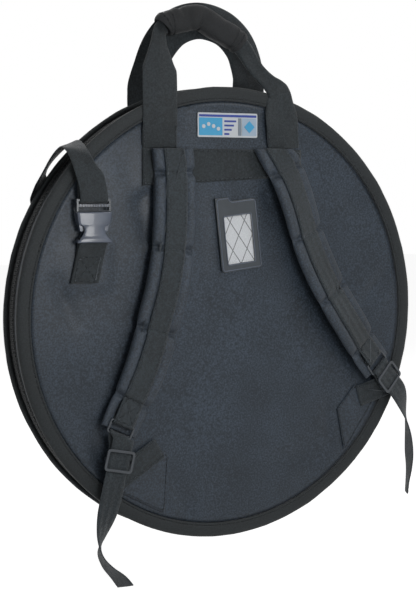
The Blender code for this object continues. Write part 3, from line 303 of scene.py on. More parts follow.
@dataclass(frozen=True)
class LatticeCard:
    """A printed white card with a thin grey diamond lattice, tilted with its holder."""

    name: str
    paper: str = "#e3e6ea"
    line: str = "#3c4147"
    wide_mm: float = 22.0
    high_mm: float = 38.0
    line_share: float = 0.062

    def material(self) -> bpy.types.Material:
        """Build the material.

        Returns:
            The card's material.
        """
        made, tree, shader = start_material(self.name)
        place = add_node(tree, "TexCoord").outputs["Object"]
        x, height = BAG.holder
        centred = add_node(tree, "Mapping", {"vector_type": "TEXTURE"},
                           {0: place, "Location": (x, 0, height - BAG.grip_rise),
                            "Rotation": (0, -BAG.holder_tilt, 0)})
        parts = add_node(tree, "SeparateXYZ", inputs={0: centred})
        cells = [add_node(tree, "Math", {"operation": "DIVIDE"},
                          {0: parts.outputs[axis], 1: size / 1000})
                 for axis, size in ((0, self.wide_mm), (2, self.high_mm))]
        near = []
        for operation in ("ADD", "SUBTRACT"):
            slant = add_node(tree, "Math", {"operation": operation}, dict(enumerate(cells)))
            wave = add_node(tree, "Math", {"operation": "PINGPONG"}, {0: slant, 1: 0.5})
            near.append(add_node(tree, "Math", {"operation": "LESS_THAN"},
                                 {0: wave, 1: self.line_share / 2}))
        drawn = add_node(tree, "Math", {"operation": "MAXIMUM"}, dict(enumerate(near)))
        colours = add_node(tree, "Mix", {"data_type": "RGBA"},
                           {0: drawn, 6: linear(self.paper), 7: linear(self.line)})
        feed(tree, shader, {"Base Color": colours.outputs[2], "Roughness": 0.45})
        return made


@dataclass(frozen=True)
class ClearFilm:
    """Clear PVC film: nearly all of the card shows through, with a faint gloss."""

    name: str
    tint: str = "#f4f6f8"
    alpha: float = 0.12

    def material(self) -> bpy.types.Material:
        """Build the material.

        Returns:
            The film's material.
        """
        made, tree, shader = start_material(self.name)
        feed(tree, shader, {"Base Color": linear(self.tint), "Roughness": 0.12,
                            "Alpha": self.alpha})
        return made


Finish = Cloth | Moulded | LatticeCard | ClearFilm


# Oxford nylon, woven and coated: matt, blue grey in the light. The threads are drawn as coarse
# as they need to be to show.
NYLON = Cloth("black_oxford_nylon", "#222a32", "#434e5b", Weave.PLAIN, 1.7, 0.44, 0.10,
              bump_mm=0.16)
GRIP_CLOTH = Cloth("black_smooth_nylon", "#0b0d0f", "#181c20", Weave.PLAIN, 1.2, 0.62, 0.03,
                   bump_mm=0.12)
LINING = Cloth("black_lining_cloth", "#23272d", "#343a42", Weave.PLAIN, 1.2, bump_mm=0.12)
# Polypropylene webbing, woven in columns that slant to and fro: flat, a little green.
WEBBING = Cloth("black_twill_webbing", "#1a2125", "#394248", Weave.HERRINGBONE, 1.9, 0.62,
                bump_mm=0.32, column_mm=5.0, edge_light=0.25)
WIDE_WEBBING = Cloth("black_wide_webbing", "#181e21", "#333b40", Weave.HERRINGBONE, 1.8, 0.62,
                     bump_mm=0.30, column_mm=60.0, edge_light=0.25)
# Grosgrain binding tape, with ribs across it: the darkest cloth on the bag.
BINDING = Cloth("black_grosgrain_tape", "#1a1e20", "#2b3134", Weave.RIBBED, 1.6, 0.66, bump_mm=0.25,
                edge_light=0.15)
ZIP_CLOTH = Cloth("black_zip_tape", "#1b1e20", "#2a2f31", Weave.RIBBED, 1.2, bump_mm=0.18)
# Spun polyester thread: black and matt, so that a seam shows by its stitches' shadows. The grey
# # thread below is the same black thread, drawn grey as a painted sheen where it lies on webbing.
THREAD = Moulded("black_sewing_thread", "#171a1d", "#2b3035", 0.6, 0.3)
# Black thread painted grey: a painted sheen on the stitches that lie on webbing.
SHEEN_PAINTED_THREAD = Moulded("black_thread_painted_sheen", "#50565c", "#666d73", 0.6, 0.3)
# Closed cell foam: dull, with coarse cells.
FOAM = Moulded("grey_foam", "#4d4f52", "#5d5f62", 0.9, 1.4, 0.3)
# Acetal of the buckle, ring and sliders: dark grey, semi gloss from a smooth mould.
BUCKLE_PLASTIC = Moulded("grey_moulded_acetal", "#394150", "#566173", 0.32, coat=0.25)
RING_PLASTIC = Moulded("dark_moulded_acetal", "#2a2f35", "#464d55", 0.38, coat=0.15)
HOLDER_PLASTIC = Moulded("black_soft_moulded_plastic", "#252c32", "#353e46", 0.34, 0.9, 0.03, coat=0.2)
TEETH_PLASTIC = Moulded("black_coil_teeth", "#1a1c1e", "#2c2f31", 0.45)
# Die-cast zinc with a black coating, rubbed a little.
ZIP_METAL = Moulded("black_coated_zinc", "#2a2a29", "#4a4a48", 0.40, metallic=0.8)
# Moulded soft rubber of the badge: plain matt colours with a faint grain.
LABEL_WHITE = Moulded("white_soft_rubber", "#d3d8de", "#dde2e6", 0.5)
LABEL_BLUE = Moulded("blue_soft_rubber", "#46a5d6", "#54b2df", 0.5)
LABEL_NAVY = Moulded("navy_soft_rubber", "#33489b", "#3c51a6", 0.5)
LABEL_SILVER = Moulded("silver_soft_rubber", "#a3b9cf", "#bfd1e2", 0.4)
LABEL_GREY = Moulded("grey_soft_rubber", "#7b8894", "#8b97a2", 0.5)
CARD = LatticeCard("printed_white_card")
FILM = ClearFilm("clear_pvc_film")
_made: dict[str, bpy.types.Material] = {}


def finish_of(kind: Finish) -> bpy.types.Material:
    """Return the finish's material, built once."""
    if kind.name not in _made:
        _made[kind.name] = kind.material()
    return _made[kind.name]


# Cloth between two bodies


@dataclass(frozen=True)
class Fold:
    """Two bodies and two points that a cloth spans between; a piece on a fold stays fixed where it is
    built.
    """

    first: str
    second: str
    start: tuple[float, float, float]
    end: tuple[float, float, float]


COVER_FOLD = Fold("back_shell", "front_cover", (0, 0.0180, -0.6783), (0, 0.0400, -0.6604))
BACK_HANDLE_FOLD = Fold("back_shell", "back_handle", (0, -0.0272, -0.097), (0, -0.0272, -0.073))
FRONT_HANDLE_FOLD = Fold("front_cover", "front_handle", (0, 0.0272, -0.097),
                         (0, 0.0272, -0.073))
PAD_FOLDS = {
    "left": Fold("back_shell", "left_strap", (-0.0825, -0.023, -0.206), (-0.084, -0.023, -0.300)),
    "right": Fold("back_shell", "right_strap", (0.092, -0.023, -0.196), (0.128, -0.023, -0.290)),
}
ANCHOR_FOLDS = {
    "left": Fold("back_shell", "left_strap", (-0.1035, -0.023, -0.5496),
                 (-0.1680, -0.023, -0.5862)),
    "right": Fold("back_shell", "right_strap", (0.2115, -0.023, -0.5034),
                  (0.2640, -0.023, -0.4884)),
}


# Shapes


WEB_COLUMNS = (-1, -0.94, -0.75, -0.4, 0, 0.4, 0.75, 0.94, 1)
# Noise scale of a webbing's ripple along it and across it
WEB_RIPPLE = (45, 0.8)
# Share of its thickness that a webbing has at its selvage
SELVAGE = 0.35
BAR_STEPS = 12


def smooth_rows(rows: Sequence[Sequence[float]], steps: int) -> np.ndarray:
    """Draw a smooth line through given rows.

    Args:
        rows: The rows of a table.
        steps: Steps between two rows.

    Returns:
        The rows of the smooth line.
    """
    table = np.array(rows, float)
    table = np.vstack([2 * table[0] - table[1], table, 2 * table[-1] - table[-2]])
    line = []
    for a, b, c, d in zip(table, table[1:], table[2:], table[3:]):
        for t in np.arange(steps) / steps:
            bend = (2 * a - 5 * b + 4 * c - d) * t ** 2 + (3 * b - a - 3 * c + d) * t ** 3
            line.append((2 * b + (c - a) * t + bend) / 2)
    line.append(table[-2])
    return np.array(line)

def eased(share: float | np.ndarray) -> float | np.ndarray:
    """Ease a share from 0 to 1 in and out."""
    return share * share * (3 - 2 * share)


def mirrored(half: Sequence[Sequence[float]]) -> np.ndarray:
    """Return a half profile's rows, whose first value runs from 0, with their mirror image."""
    rows = np.array(half, float)
    image = rows[:0:-1].copy()
    image[:, 0] *= -1
    return np.vstack([image, rows])


def unit(rows: np.ndarray) -> np.ndarray:
    """Return the rows as directions of length 1."""
    return rows / np.maximum(np.linalg.norm(rows, axis=-1, keepdims=True), 1e-12)


@dataclass
class Course:
    """The course of a strap: its middle line, its widths, and its directions at each row."""

    places: np.ndarray
    widths: np.ndarray
    sides: np.ndarray
    normals: np.ndarray

    @classmethod
    def through(cls, places: Sequence, widths: Sequence[float] | float,
                leans: Sequence[float] | None = None, sides: Sequence | None = None) -> "Course":
        """Make a course through places.

        Args:
            places: Points of the middle line.
            widths: The width at each, or one width.
            leans: Turn of the width about the line, if no sides are given.
            sides: Directions of the width.

        Returns:
            The course.
        """
        points = np.array([tuple(p) for p in places], float)
        alongs = unit(np.gradient(points, axis=0))
        if sides is None:
            level = unit(np.cross(alongs, (0.0, 1.0, 0.0)))
            up = np.cross(alongs, level)
            lean = np.zeros(len(points)) if leans is None else np.array(leans, float)
            across = level * np.cos(lean)[:, None] - up * np.sin(lean)[:, None]
        else:
            across = unit(np.array([tuple(s) for s in sides], float))
        normals = unit(np.cross(alongs, across))
        return cls(points, np.broadcast_to(widths, len(points)).astype(float), across, normals)

    @property
    def lengths(self) -> np.ndarray:
        """Distance along the line at each row."""
        steps = np.linalg.norm(np.diff(self.places, axis=0), axis=1)
        return np.concatenate([[0.0], np.cumsum(steps)])

    def read(self, spots: np.ndarray) -> "Course":
        """Return the course at distances along it."""
        at = self.lengths

        def rows(values: np.ndarray) -> np.ndarray:
            columns = [np.interp(spots, at, values[:, k]) for k in range(values.shape[1])]
            return np.stack(columns, axis=1)

        widths = np.interp(spots, at, self.widths)
        return Course(rows(self.places), widths, unit(rows(self.sides)),
                      unit(rows(self.normals)))

    def spaced(self, step: float) -> "Course":
        """Return the course with rows about one step apart."""
        total = self.lengths[-1]
        return self.read(np.linspace(0, total, max(3, round(total / step) + 1)))

    def between(self, low: float, high: float, step: float) -> "Course":
        """Return a stretch between two shares of the length."""
        total = self.lengths[-1]
        count = max(3, round(total * (high - low) / step) + 1)
        return self.read(np.linspace(low * total, high * total, count))

    def at(self, share: float) -> tuple[Vector, Vector, Vector, Vector]:
        """Return the place, and the directions along, across and outwards, at a share."""
        spot = self.lengths[-1] * share
        near = self.read(np.array([spot - 0.001, spot, spot + 0.001]))
        along = Vector(near.places[2] - near.places[0]).normalized()
        return Vector(near.places[1]), along, Vector(near.sides[1]), Vector(near.normals[1])

    def raised(self, rise: np.ndarray | float) -> "Course":
        """Return the course moved outwards."""
        lift = np.broadcast_to(rise, len(self.places))[:, None]
        return Course(self.places + self.normals * lift, self.widths, self.sides, self.normals)

    def spread(self, own: np.ndarray) -> tuple[np.ndarray, np.ndarray, np.ndarray]:
        """Return the places, outward directions and UV places of a grid across the course.

        Args:
            own: Distances across it, by row and column.

        Returns:
            The three grids.
        """
        middle = self.places[:, None] + self.sides[:, None] * own[..., None]
        normals = np.broadcast_to(self.normals[:, None], middle.shape)
        uv = np.stack(np.broadcast_arrays(own, self.lengths[:, None]), axis=-1)
        return middle, normals, uv


def ordered(vertices: Sequence) -> list:
    """Return a flat grid's vertices by row, then by column."""
    return sorted(vertices, key=lambda v: (round(v.co.x, 5), round(v.co.y, 5)))


def cloth_body(middle: np.ndarray, normals: np.ndarray, low: np.ndarray, high: np.ndarray,
               uv: np.ndarray, edge: np.ndarray | None = None) -> bmesh.types.BMesh:
    """Make a closed body from a grid of places.

    Args:
        middle: Places, by row and column.
        normals: Outward directions there.
        low: How far the inner side lies along them.
        high: How far the outer side lies along them.
        uv: The cloth's own places in metres, by row and column.
        edge: Nearness to the cloth's edge, from 0 to 1.

    Returns:
        The body's bmesh.
    """
    rows, columns = middle.shape[:2]
    work = bmesh.new()
    nearness = work.verts.layers.float.new(EDGE_NAME)
    layer = work.loops.layers.uv.new(UV_NAME)
    bmesh.ops.create_grid(work, x_segments=rows - 1, y_segments=columns - 1, size=1)
    base = ordered(work.verts)
    made = bmesh.ops.extrude_face_region(work, geom=work.faces[:], use_keep_orig=True)
    top = ordered(v for v in made["geom"] if isinstance(v, bmesh.types.BMVert))
    work.verts.index_update()
    flat_uv = np.zeros((len(work.verts), 2))
    for vertices, rise in ((base, low), (top, high)):
        spots = (middle + normals * np.broadcast_to(rise, (rows, columns))[..., None])
        for vertex, spot, pair, near in zip(
                vertices, spots.reshape(-1, 3), uv.reshape(-1, 2),
                (np.zeros(rows * columns) if edge is None else edge.reshape(-1))):
            vertex.co = spot
            vertex[nearness] = near
            flat_uv[vertex.index] = pair
    for face in work.faces:
        for loop in face.loops:
            loop[layer].uv = flat_uv[loop.vert.index]
    return work


def waves(first: np.ndarray, second: np.ndarray, scale: tuple[float, float],
          seed: float) -> np.ndarray:
    """Return smooth noise over a grid.

    Args:
        first: One coordinate, by row and column.
        second: The other coordinate, by row and column.
        scale: What each is multiplied by.
        seed: Picks the noise.

    Returns:
        Heights from -1 to 1, by row and column.
    """
    def height(a: float, b: float) -> float:
        return noise.noise(Vector((a * scale[0], b * scale[1], seed)))

    return np.vectorize(height, otypes=[float])(first, second)


def ribbon(course: Course, bow: float = 0.0002, seed: float = 0.0,
           ripple: float = 0.00025) -> bmesh.types.BMesh:
    """Make a webbing along a course, with rounded selvages and a slight ripple.

    Args:
        course: The webbing's course.
        bow: How far its middle stands out of its edges.
        seed: Picks the ripple.
        ripple: The ripple's height.

    Returns:
        The webbing's bmesh.
    """
    across = np.array(WEB_COLUMNS)
    middle, normals, uv = course.spread(course.widths[:, None] / 2 * across)
    wave = waves(course.lengths[:, None], across, WEB_RIPPLE, seed) * ripple
    lift = wave + bow * (1 - across ** 2)
    body = np.where(np.abs(across) > 0.97, SELVAGE, 1.0) * BAG.web / 2
    edge = np.broadcast_to(np.abs(across), middle.shape[:2])
    return cloth_body(middle, normals, lift - body, lift + body, uv, edge)


def soften(piece: bpy.types.Object, width: float, segments: int = 2) -> None:
    """Round a hard piece's edges."""
    edges = piece.modifiers.new("soft_edges", "BEVEL")
    edges.width = width
    edges.segments = segments
    edges.limit_method = "ANGLE"
    edges.angle_limit = math.radians(40)


def finish_piece(name: str, work: bmesh.types.BMesh, kind: Finish, ride: str | Fold,
                 replaced: Sequence[str] = (), smooth: bool = True, levels: int = 0,
                 rounded: float = 0.0) -> bpy.types.Object:
    """Turn a bmesh into a piece of the bag, in place and on its body.

    Args:
        name: The piece's name.
        work: Its bmesh, measured from the centre of the round body.
        kind: Its finish.
        ride: The body that it rides on, or the fold where it bends between two.
        replaced: Solids that it stands for.
        smooth: Whether it is shaded smooth.
        levels: Steps of a Subdivision Surface.
        rounded: How far its edges are rounded off.

    Returns:
        The piece.
    """
    bmesh.ops.recalc_face_normals(work, faces=work.faces)
    if work.calc_volume(signed=True) < 0:
        bmesh.ops.reverse_faces(work, faces=work.faces)
    bmesh.ops.translate(work, vec=CENTRE, verts=work.verts)
    for face in work.faces:
        face.smooth = smooth
    mesh = bpy.data.meshes.new(name)
    work.to_mesh(mesh)
    work.free()
    piece = bpy.data.objects.new(name, mesh)
    bpy.context.scene.collection.objects.link(piece)
    mesh.materials.append(finish_of(kind))
    if levels:
        rounder = piece.modifiers.new("rounder", "SUBSURF")
        rounder.levels = rounder.render_levels = levels
    if rounded:
        soften(piece, rounded)
    if isinstance(ride, Fold):
        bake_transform(piece)
    else:
        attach(piece, ride)
    if replaced:
        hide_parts(*replaced)
    LOG.info("%s: %d faces", name, len(mesh.polygons))
    return piece


def repeat(template: bmesh.types.BMesh, turns: Sequence[Matrix]) -> bmesh.types.BMesh:
    """Repeat one small shape at many places.

    Args:
        template: The shape, which becomes the result.
        turns: One matrix for each copy.

    Returns:
        The bmesh with all the copies.
    """
    points = [v.co.copy() for v in template.verts]
    while len(template.verts) < len(points) * len(turns):
        everything = template.verts[:] + template.edges[:] + template.faces[:]
        bmesh.ops.duplicate(template, geom=everything)
    template.verts.ensure_lookup_table()
    spare = template.verts[len(points) * len(turns):]
    for k, turn in enumerate(turns):
        for i, point in enumerate(points):
            template.verts[k * len(points) + i].co = turn @ point
    bmesh.ops.delete(template, geom=spare, context="VERTS")
    return template


@dataclass(frozen=True)
class Stitching:
    """Sewn stitches: their pitch, length and thread."""

    pitch: float = 0.0036
    long: float = 0.0026
    radius: float = 0.00042
    thread: Moulded = THREAD
    flat: float = 0.8

    def turns(self, places: np.ndarray, normals: np.ndarray) -> list[Matrix]:
        """Place stitches along a line.

        Args:
            places: Points of the line.
            normals: Outward directions there.

        Returns:
            One matrix for each stitch.
        """
        steps = np.linalg.norm(np.diff(places, axis=0), axis=1)
        at = np.concatenate([[0.0], np.cumsum(steps)])
        count = max(1, int(at[-1] / self.pitch))
        spots = (np.arange(count) + 0.5) * at[-1] / count

        def read(values: np.ndarray, where: np.ndarray) -> np.ndarray:
            return np.stack([np.interp(where, at, values[:, k]) for k in range(3)], axis=1)

        alongs = unit(read(places, spots + 0.001) - read(places, spots - 0.001))
        outs = unit(read(normals, spots))
        found = []
        for place, along, out in zip(read(places, spots), alongs, outs):
            side = Vector(np.cross(out, along)).normalized()
            axes = Matrix((Vector(along), side, Vector(out))).transposed().to_4x4()
            found.append(Matrix.Translation(Vector(place)) @ axes)
        return found

    def sew(self, name: str, lines: Sequence[tuple[np.ndarray, np.ndarray]],
            ride: str | Fold) -> bpy.types.Object:
        """Sew along lines.

        Args:
            name: The piece's name.
            lines: Each line's points and outward directions.
            ride: The body that the stitches ride on, or the fold of their cloth.

        Returns:
            The stitches as one piece.
        """
        turns = [turn for places, normals in lines for turn in self.turns(places, normals)]
        work = bmesh.new()
        bmesh.ops.create_uvsphere(work, u_segments=6, v_segments=4, radius=self.radius)
        bmesh.ops.scale(work, vec=(self.long / 2 / self.radius, 1, self.flat), verts=work.verts)
        return finish_piece(name, repeat(work, turns), self.thread, ride)


SEAM = Stitching()
# Stitches in the black thread, with its sheen painted in as grey.
SHEEN_PAINTED_SEAM = Stitching(thread=SHEEN_PAINTED_THREAD)


def edge_lines(course: Course, inset: float, rise: float) -> list[tuple[np.ndarray, np.ndarray]]:
    """Return lines beside a webbing's edges.

    Args:
        course: The webbing's course.
        inset: How far inside its edges they run.
        rise: How far out of its middle they lie.

    Returns:
        Each line's points and normals.
    """
    lines = []
    for side in (-1, 1):
        reach = (course.widths / 2 - inset)[:, None] * side
        places = course.places + course.sides * reach + course.normals * rise
        lines.append((places, course.normals))
    return lines


def cross_line(course: Course, row: int, inset: float,
               count: int) -> tuple[np.ndarray, np.ndarray]:
    """Return a line straight across a webbing, on its outer side.

    Args:
        course: The webbing's course.
        row: The row where it crosses.
        inset: How far inside the edges it ends.
        count: How many points it has.

    Returns:
        Its points and normals.
    """
    reach = np.linspace(-1, 1, count)[:, None] * (course.widths[row] / 2 - inset)
    places = course.places[row] + course.sides[row] * reach + course.normals[row] * BAG.on_web
    return places, np.tile(course.normals[row], (count, 1))


def round_bar(bar: Vector, heading: Vector, normal: Vector, radius: float) -> list[Vector]:
    """Return places round a bar, from the webbing's outer side to its inner side."""
    turns = [math.pi * i / BAR_STEPS for i in range(BAR_STEPS + 1)]
    return [bar + normal * radius * math.cos(t) + heading * radius * math.sin(t) for t in turns]


def flat_line(points: Sequence[tuple[float, float]], proud: float,
              step: float = 0.004) -> tuple[np.ndarray, np.ndarray]:
    """Return a line over the strap side through (x, height) points.

    Args:
        points: The line's corners.
        proud: How far it lies off the panel.
        step: Spacing of its rows.

    Returns:
        Its points and its outward directions.
    """
    corners = np.array([(x, -BAG.face_y - proud, h) for x, h in points])
    steps = np.linalg.norm(np.diff(corners, axis=0), axis=1)
    at = np.concatenate([[0.0], np.cumsum(steps)])
    spots = np.linspace(0, at[-1], max(3, round(at[-1] / step)))
    places = np.stack([np.interp(spots, at, corners[:, k]) for k in range(3)], axis=1)
    return places, np.tile((0.0, -1.0, 0.0), (len(places), 1))


# The round body


@dataclass(frozen=True)
class Crease:
    """A soft groove, or with a negative depth a ridge, in the padded panel."""

    start: tuple[float, float]
    end: tuple[float, float]
    depth: float
    half: float

    def at(self, x: float, height: float) -> float:
        """Return how deep it is at a place."""
        a = np.array(self.start)
        run = np.array(self.end) - a
        share = float(np.clip((np.array((x, height)) - a) @ run / (run @ run), 0, 1))
        away = math.dist((x, height), tuple(a + run * share))
        taper = 0.55 + 0.45 * math.sin(math.pi * min(max(share, 0.1), 0.9))
        return self.depth * taper * math.exp(-(away / self.half) ** 2)


@dataclass
class RoundBody:
    """The shell's two halves: panels, foam, linings and bindings, with the gusset and zip."""

    sides: int = 180
    skin: float = 0.0012
    foam: float = 0.006
    lining: float = 0.001
    flange_thick: float = 0.0066
    flange_high: float = 0.0062
    gusset_thick: float = 0.0015
    zip_y: float = 0.0085
    zip_slot: float = 0.0012
    teeth_wide: float = 0.0030
    teeth_proud: float = 0.0012
    hinge_half: float = math.radians(20)
    rest: float = 0.0013
    seam_inset: float = 0.0030
    zip_stitch: float = 0.0001
    tooth_round: float = 0.0004
    teeth_sunk: float = 0.0001
    # Rings of the panels, of the foams and linings, and of the dividers
    panel_rings: int = 44
    sheet_rings: int = 30
    divider_rings: int = 26
    divider_r: float = 0.2850
    divider_y: float = 0.0045
    divider_thick: float = 0.0020
    divider_fold: tuple[float, float] = (-0.6690, -0.6300)
    tooth_pitch: float = 0.0026
    # Depth and noise scale of a panel's slack and of its small dents, and where sewing holds it
    slack: tuple[float, float] = (0.0019, 9.0)
    dents: tuple[float, float] = (0.0004, 34.0)
    held: float = 0.016
    soft_edge: float = 0.012
    pressed_r: float = 0.280
    creases: tuple[Crease, ...] = (
        Crease((-0.181, 0.219), (-0.168, 0.236), 0.0016, 0.005),
        Crease((-0.201, 0.197), (-0.209, 0.174), 0.0018, 0.007),
        Crease((-0.113, 0.172), (-0.128, 0.145), 0.0030, 0.011),
        Crease((-0.128, 0.145), (-0.118, 0.105), 0.0026, 0.013),
        Crease((0.117, 0.214), (0.139, 0.163), 0.0026, 0.009),
        Crease((0.139, 0.163), (0.161, 0.153), 0.0020, 0.009),
        Crease((0.034, 0.167), (0.056, 0.163), 0.0022, 0.008),
        Crease((0.270, 0.052), (0.243, 0.027), 0.0030, 0.009),
        Crease((0.243, 0.027), (0.214, -0.014), 0.0028, 0.012),
        Crease((0.262, 0.020), (0.232, 0.000), -0.0018, 0.012),
        Crease((0.163, -0.140), (0.173, -0.182), 0.0032, 0.010),
        Crease((0.092, -0.202), (0.137, -0.201), 0.0022, 0.014),
        Crease((-0.083, -0.224), (-0.059, -0.251), 0.0030, 0.008),
        Crease((-0.059, -0.251), (-0.065, -0.268), 0.0026, 0.008),
        Crease((-0.237, -0.117), (-0.207, -0.176), -0.0018, 0.014),
        Crease((-0.207, -0.176), (-0.216, -0.211), -0.0014, 0.014),
        Crease((-0.198, -0.100), (-0.196, -0.169), 0.0018, 0.014),
        Crease((0.047, 0.281), (0.038, 0.266), 0.0014, 0.005),
        Crease((-0.062, 0.275), (-0.065, 0.258), 0.0014, 0.005),
        Crease((-0.133, 0.257), (-0.148, 0.238), 0.0016, 0.006),
        Crease((-0.243, 0.050), (-0.233, 0.021), 0.0026, 0.009),
        Crease((-0.233, 0.021), (-0.219, -0.004), 0.0020, 0.009),
        Crease((0.180, 0.166), (0.225, 0.127), 0.0018, 0.014),
    )
    # Depth and noise scale of a lining's quilting
    quilting: tuple[float, float] = (0.00025, 22)
    # Turns of a binding's waves, and the depths of the long and the short ones
    tape_turns: float = 5.5
    tape_waves: tuple[float, float] = (0.00045, 0.00035)
    # Left, right, lowest and highest edge of what is sewn on the strap side
    sewn: tuple[tuple[float, float, float, float], ...] = (
        (-0.126, 0.115, 0.172, 0.218), (-0.046, 0.046, 0.233, 0.266),
        (-0.020, 0.050, 0.057, 0.155), (-0.228, -0.178, 0.045, 0.090),
        (-0.160, -0.092, -0.258, -0.170), (0.178, 0.240, -0.200, -0.110),
    )

    @property
    def inside_r(self) -> float:
        """Radius of what lies inside the gusset."""
        return self.gusset_in_r - BAG.gap

    @property
    def gusset_r(self) -> float:
        """Outer radius of the gusset."""
        return BAG.rim_r - self.flange_high - BAG.gap

    @property
    def gusset_in_r(self) -> float:
        """Inner radius of the gusset."""
        return self.gusset_r - self.gusset_thick

    @property
    def binding_in_r(self) -> float:
        """Inner radius of the binding."""
        return BAG.rim_r - BAG.binding_wide

    def dent(self, x: float, height: float, side: int) -> float:
        """Work out how far a panel lies inside its flat face.

        Args:
            x: Place across the bag.
            height: Height above its centre.
            side: -1 on the strap side, 1 on the cover.

        Returns:
            The distance inwards.
        """
        far = math.hypot(x, height) / self.binding_in_r
        (slack, wide), (dents, fine) = self.slack, self.dents
        low = noise.noise(Vector((x * wide, height * wide, side * 3.7)))
        mid = noise.noise(Vector((x * fine, height * fine, side * 8.1)))
        depth = self.rest + slack * low + dents * mid * (0.4 + far)
        if side > 0:
            return max(0.0, depth)
        depth += sum(crease.at(x, height) for crease in self.creases)
        near = min(math.hypot(max(left - x, 0, x - right), max(bottom - height, 0, height - top))
                   for left, right, bottom, top in self.sewn)
        return depth * (0.12 + 0.88 * eased(min(1.0, near / self.held)))

    def spun(self, profile: Sequence[tuple[float, float]], start: float = 0.0,
             angle: float = math.tau, band: bool = False) -> bmesh.types.BMesh:
        """Spin a closed profile about the bag's axis.

        Args:
            profile: (radius, y) points.
            start: The angle that it starts at.
            angle: The angle that it spins through.
            band: Whether it is a tape, whose ribs run across it.

        Returns:
            The bmesh, with its UV map in metres.
        """
        work = bmesh.new()
        turn = (math.cos(start), math.sin(start))
        points = [work.verts.new((r * turn[0], y, r * turn[1])) for r, y in profile]
        edges = [work.edges.new(pair) for pair in zip(points, points[1:] + points[:1])]
        full = math.isclose(angle, math.tau)
        steps = max(4, round(self.sides * angle / math.tau))
        bmesh.ops.spin(work, geom=points + edges, cent=(0, 0, 0), axis=(0, -1, 0), angle=angle,
                       steps=steps, use_merge=full)
        bmesh.ops.remove_doubles(work, verts=work.verts, dist=BAG.merge)
        if not full:
            bmesh.ops.holes_fill(work, edges=[e for e in work.edges if e.is_boundary], sides=0)
        layer = work.loops.layers.uv.verify()
        work.normal_update()
        for face in work.faces:
            middle = face.calc_center_median()
            flat = abs(face.normal.y) > 0.5 and not band
            base = math.atan2(middle.z, middle.x)
            for loop in face.loops:
                x, y, z = loop.vert.co
                turned = math.remainder(math.atan2(z, x) - base, math.tau) + base
                over = math.hypot(x, z) - abs(y) if band else y
                loop[layer].uv = (x, z) if flat else (over, turned * BAG.rim_r)
        return work

    def wall(self, first: float, last: float, rows: int, sag: float = 0.0) -> list:
        """Return the profile of a stretch of the cloth wall, from one y to another."""
        places = np.linspace(first, last, rows)
        dips = sag * np.sin(np.linspace(0, math.pi, rows))
        outside = [(self.gusset_r - s, y) for y, s in zip(places, dips)]
        return outside + [(self.gusset_in_r - s * 0.3, y) for y, s in zip(places[::-1], dips)]

    @staticmethod
    def arc(radius: float, y: float, turns: np.ndarray) -> np.ndarray:
        """Return places on a circle about the bag's axis."""
        return np.stack([radius * np.cos(turns), np.full_like(turns, y), radius * np.sin(turns)],
                        axis=1)

    def disc(self, radius: float, faces: tuple[float, float], rings: int,
             move: Callable[[Vector], Vector]) -> bmesh.types.BMesh:
        """Make a round sheet.

        Args:
            radius: Its radius.
            faces: The y of its two faces.
            rings: Rings from its centre to its edge.
            move: Gives each vertex its place.

        Returns:
            The bmesh.
        """
        low, high = sorted(faces)
        radii = np.linspace(0, radius, rings + 1)
        work = self.spun([(r, low) for r in radii] + [(r, high) for r in radii[::-1]])
        for vertex in work.verts:
            vertex.co = move(vertex.co)
        return work

    def build_half(self, side: int, label: str) -> None:
        """Build the panel, foam, lining and binding of one half.

        Args:
            side: -1 for the strap side, 1 for the cover.
            label: The first word of their names.
        """
        ride = COVER_FOLD if side > 0 else "back_shell"
        face = side * BAG.face_y
        foam_out = BAG.face_y - self.skin - BAG.gap
        foam_in = foam_out - self.foam
        lining_out = foam_in - BAG.gap

        def sink(co: Vector) -> Vector:
            edge = min(1.0, (self.binding_in_r - math.hypot(co.x, co.z)) / self.soft_edge + 0.45)
            return co - Vector((0, side * self.dent(co.x, co.z, side) * edge, 0))

        def press(co: Vector) -> Vector:
            share = (abs(co.y) - foam_in) / self.foam
            pressed = math.hypot(co.x, co.z) < self.pressed_r
            return co - Vector((0, side * self.dent(co.x, co.z, side) * share * pressed, 0))

        def quilt(co: Vector) -> Vector:
            deep, fine = self.quilting
            rise = deep * noise.noise(Vector((co.x * fine, co.z * fine, side)))
            return co + Vector((0, side * (abs(rise) + BAG.gap / 6), 0))

        work = self.disc(self.binding_in_r - BAG.gap, (face, face - side * self.skin),
                         self.panel_rings, sink)
        panel = finish_piece(f"{label}_panel_quilted", work, NYLON, ride,
                             [f"{label}_panel"])
        work = self.disc(self.inside_r, (side * foam_out, side * foam_in), self.sheet_rings, press)
        finish_piece(f"{label}_foam_sheet", work, FOAM, ride, [f"{label}_foam"])
        work = self.disc(self.inside_r, (side * lining_out, side * (lining_out - self.lining)),
                         self.sheet_rings, quilt)
        finish_piece(f"{label}_lining_cloth", work, LINING, ride, [f"{label}_lining"])
        self.build_binding(side, label, ride)

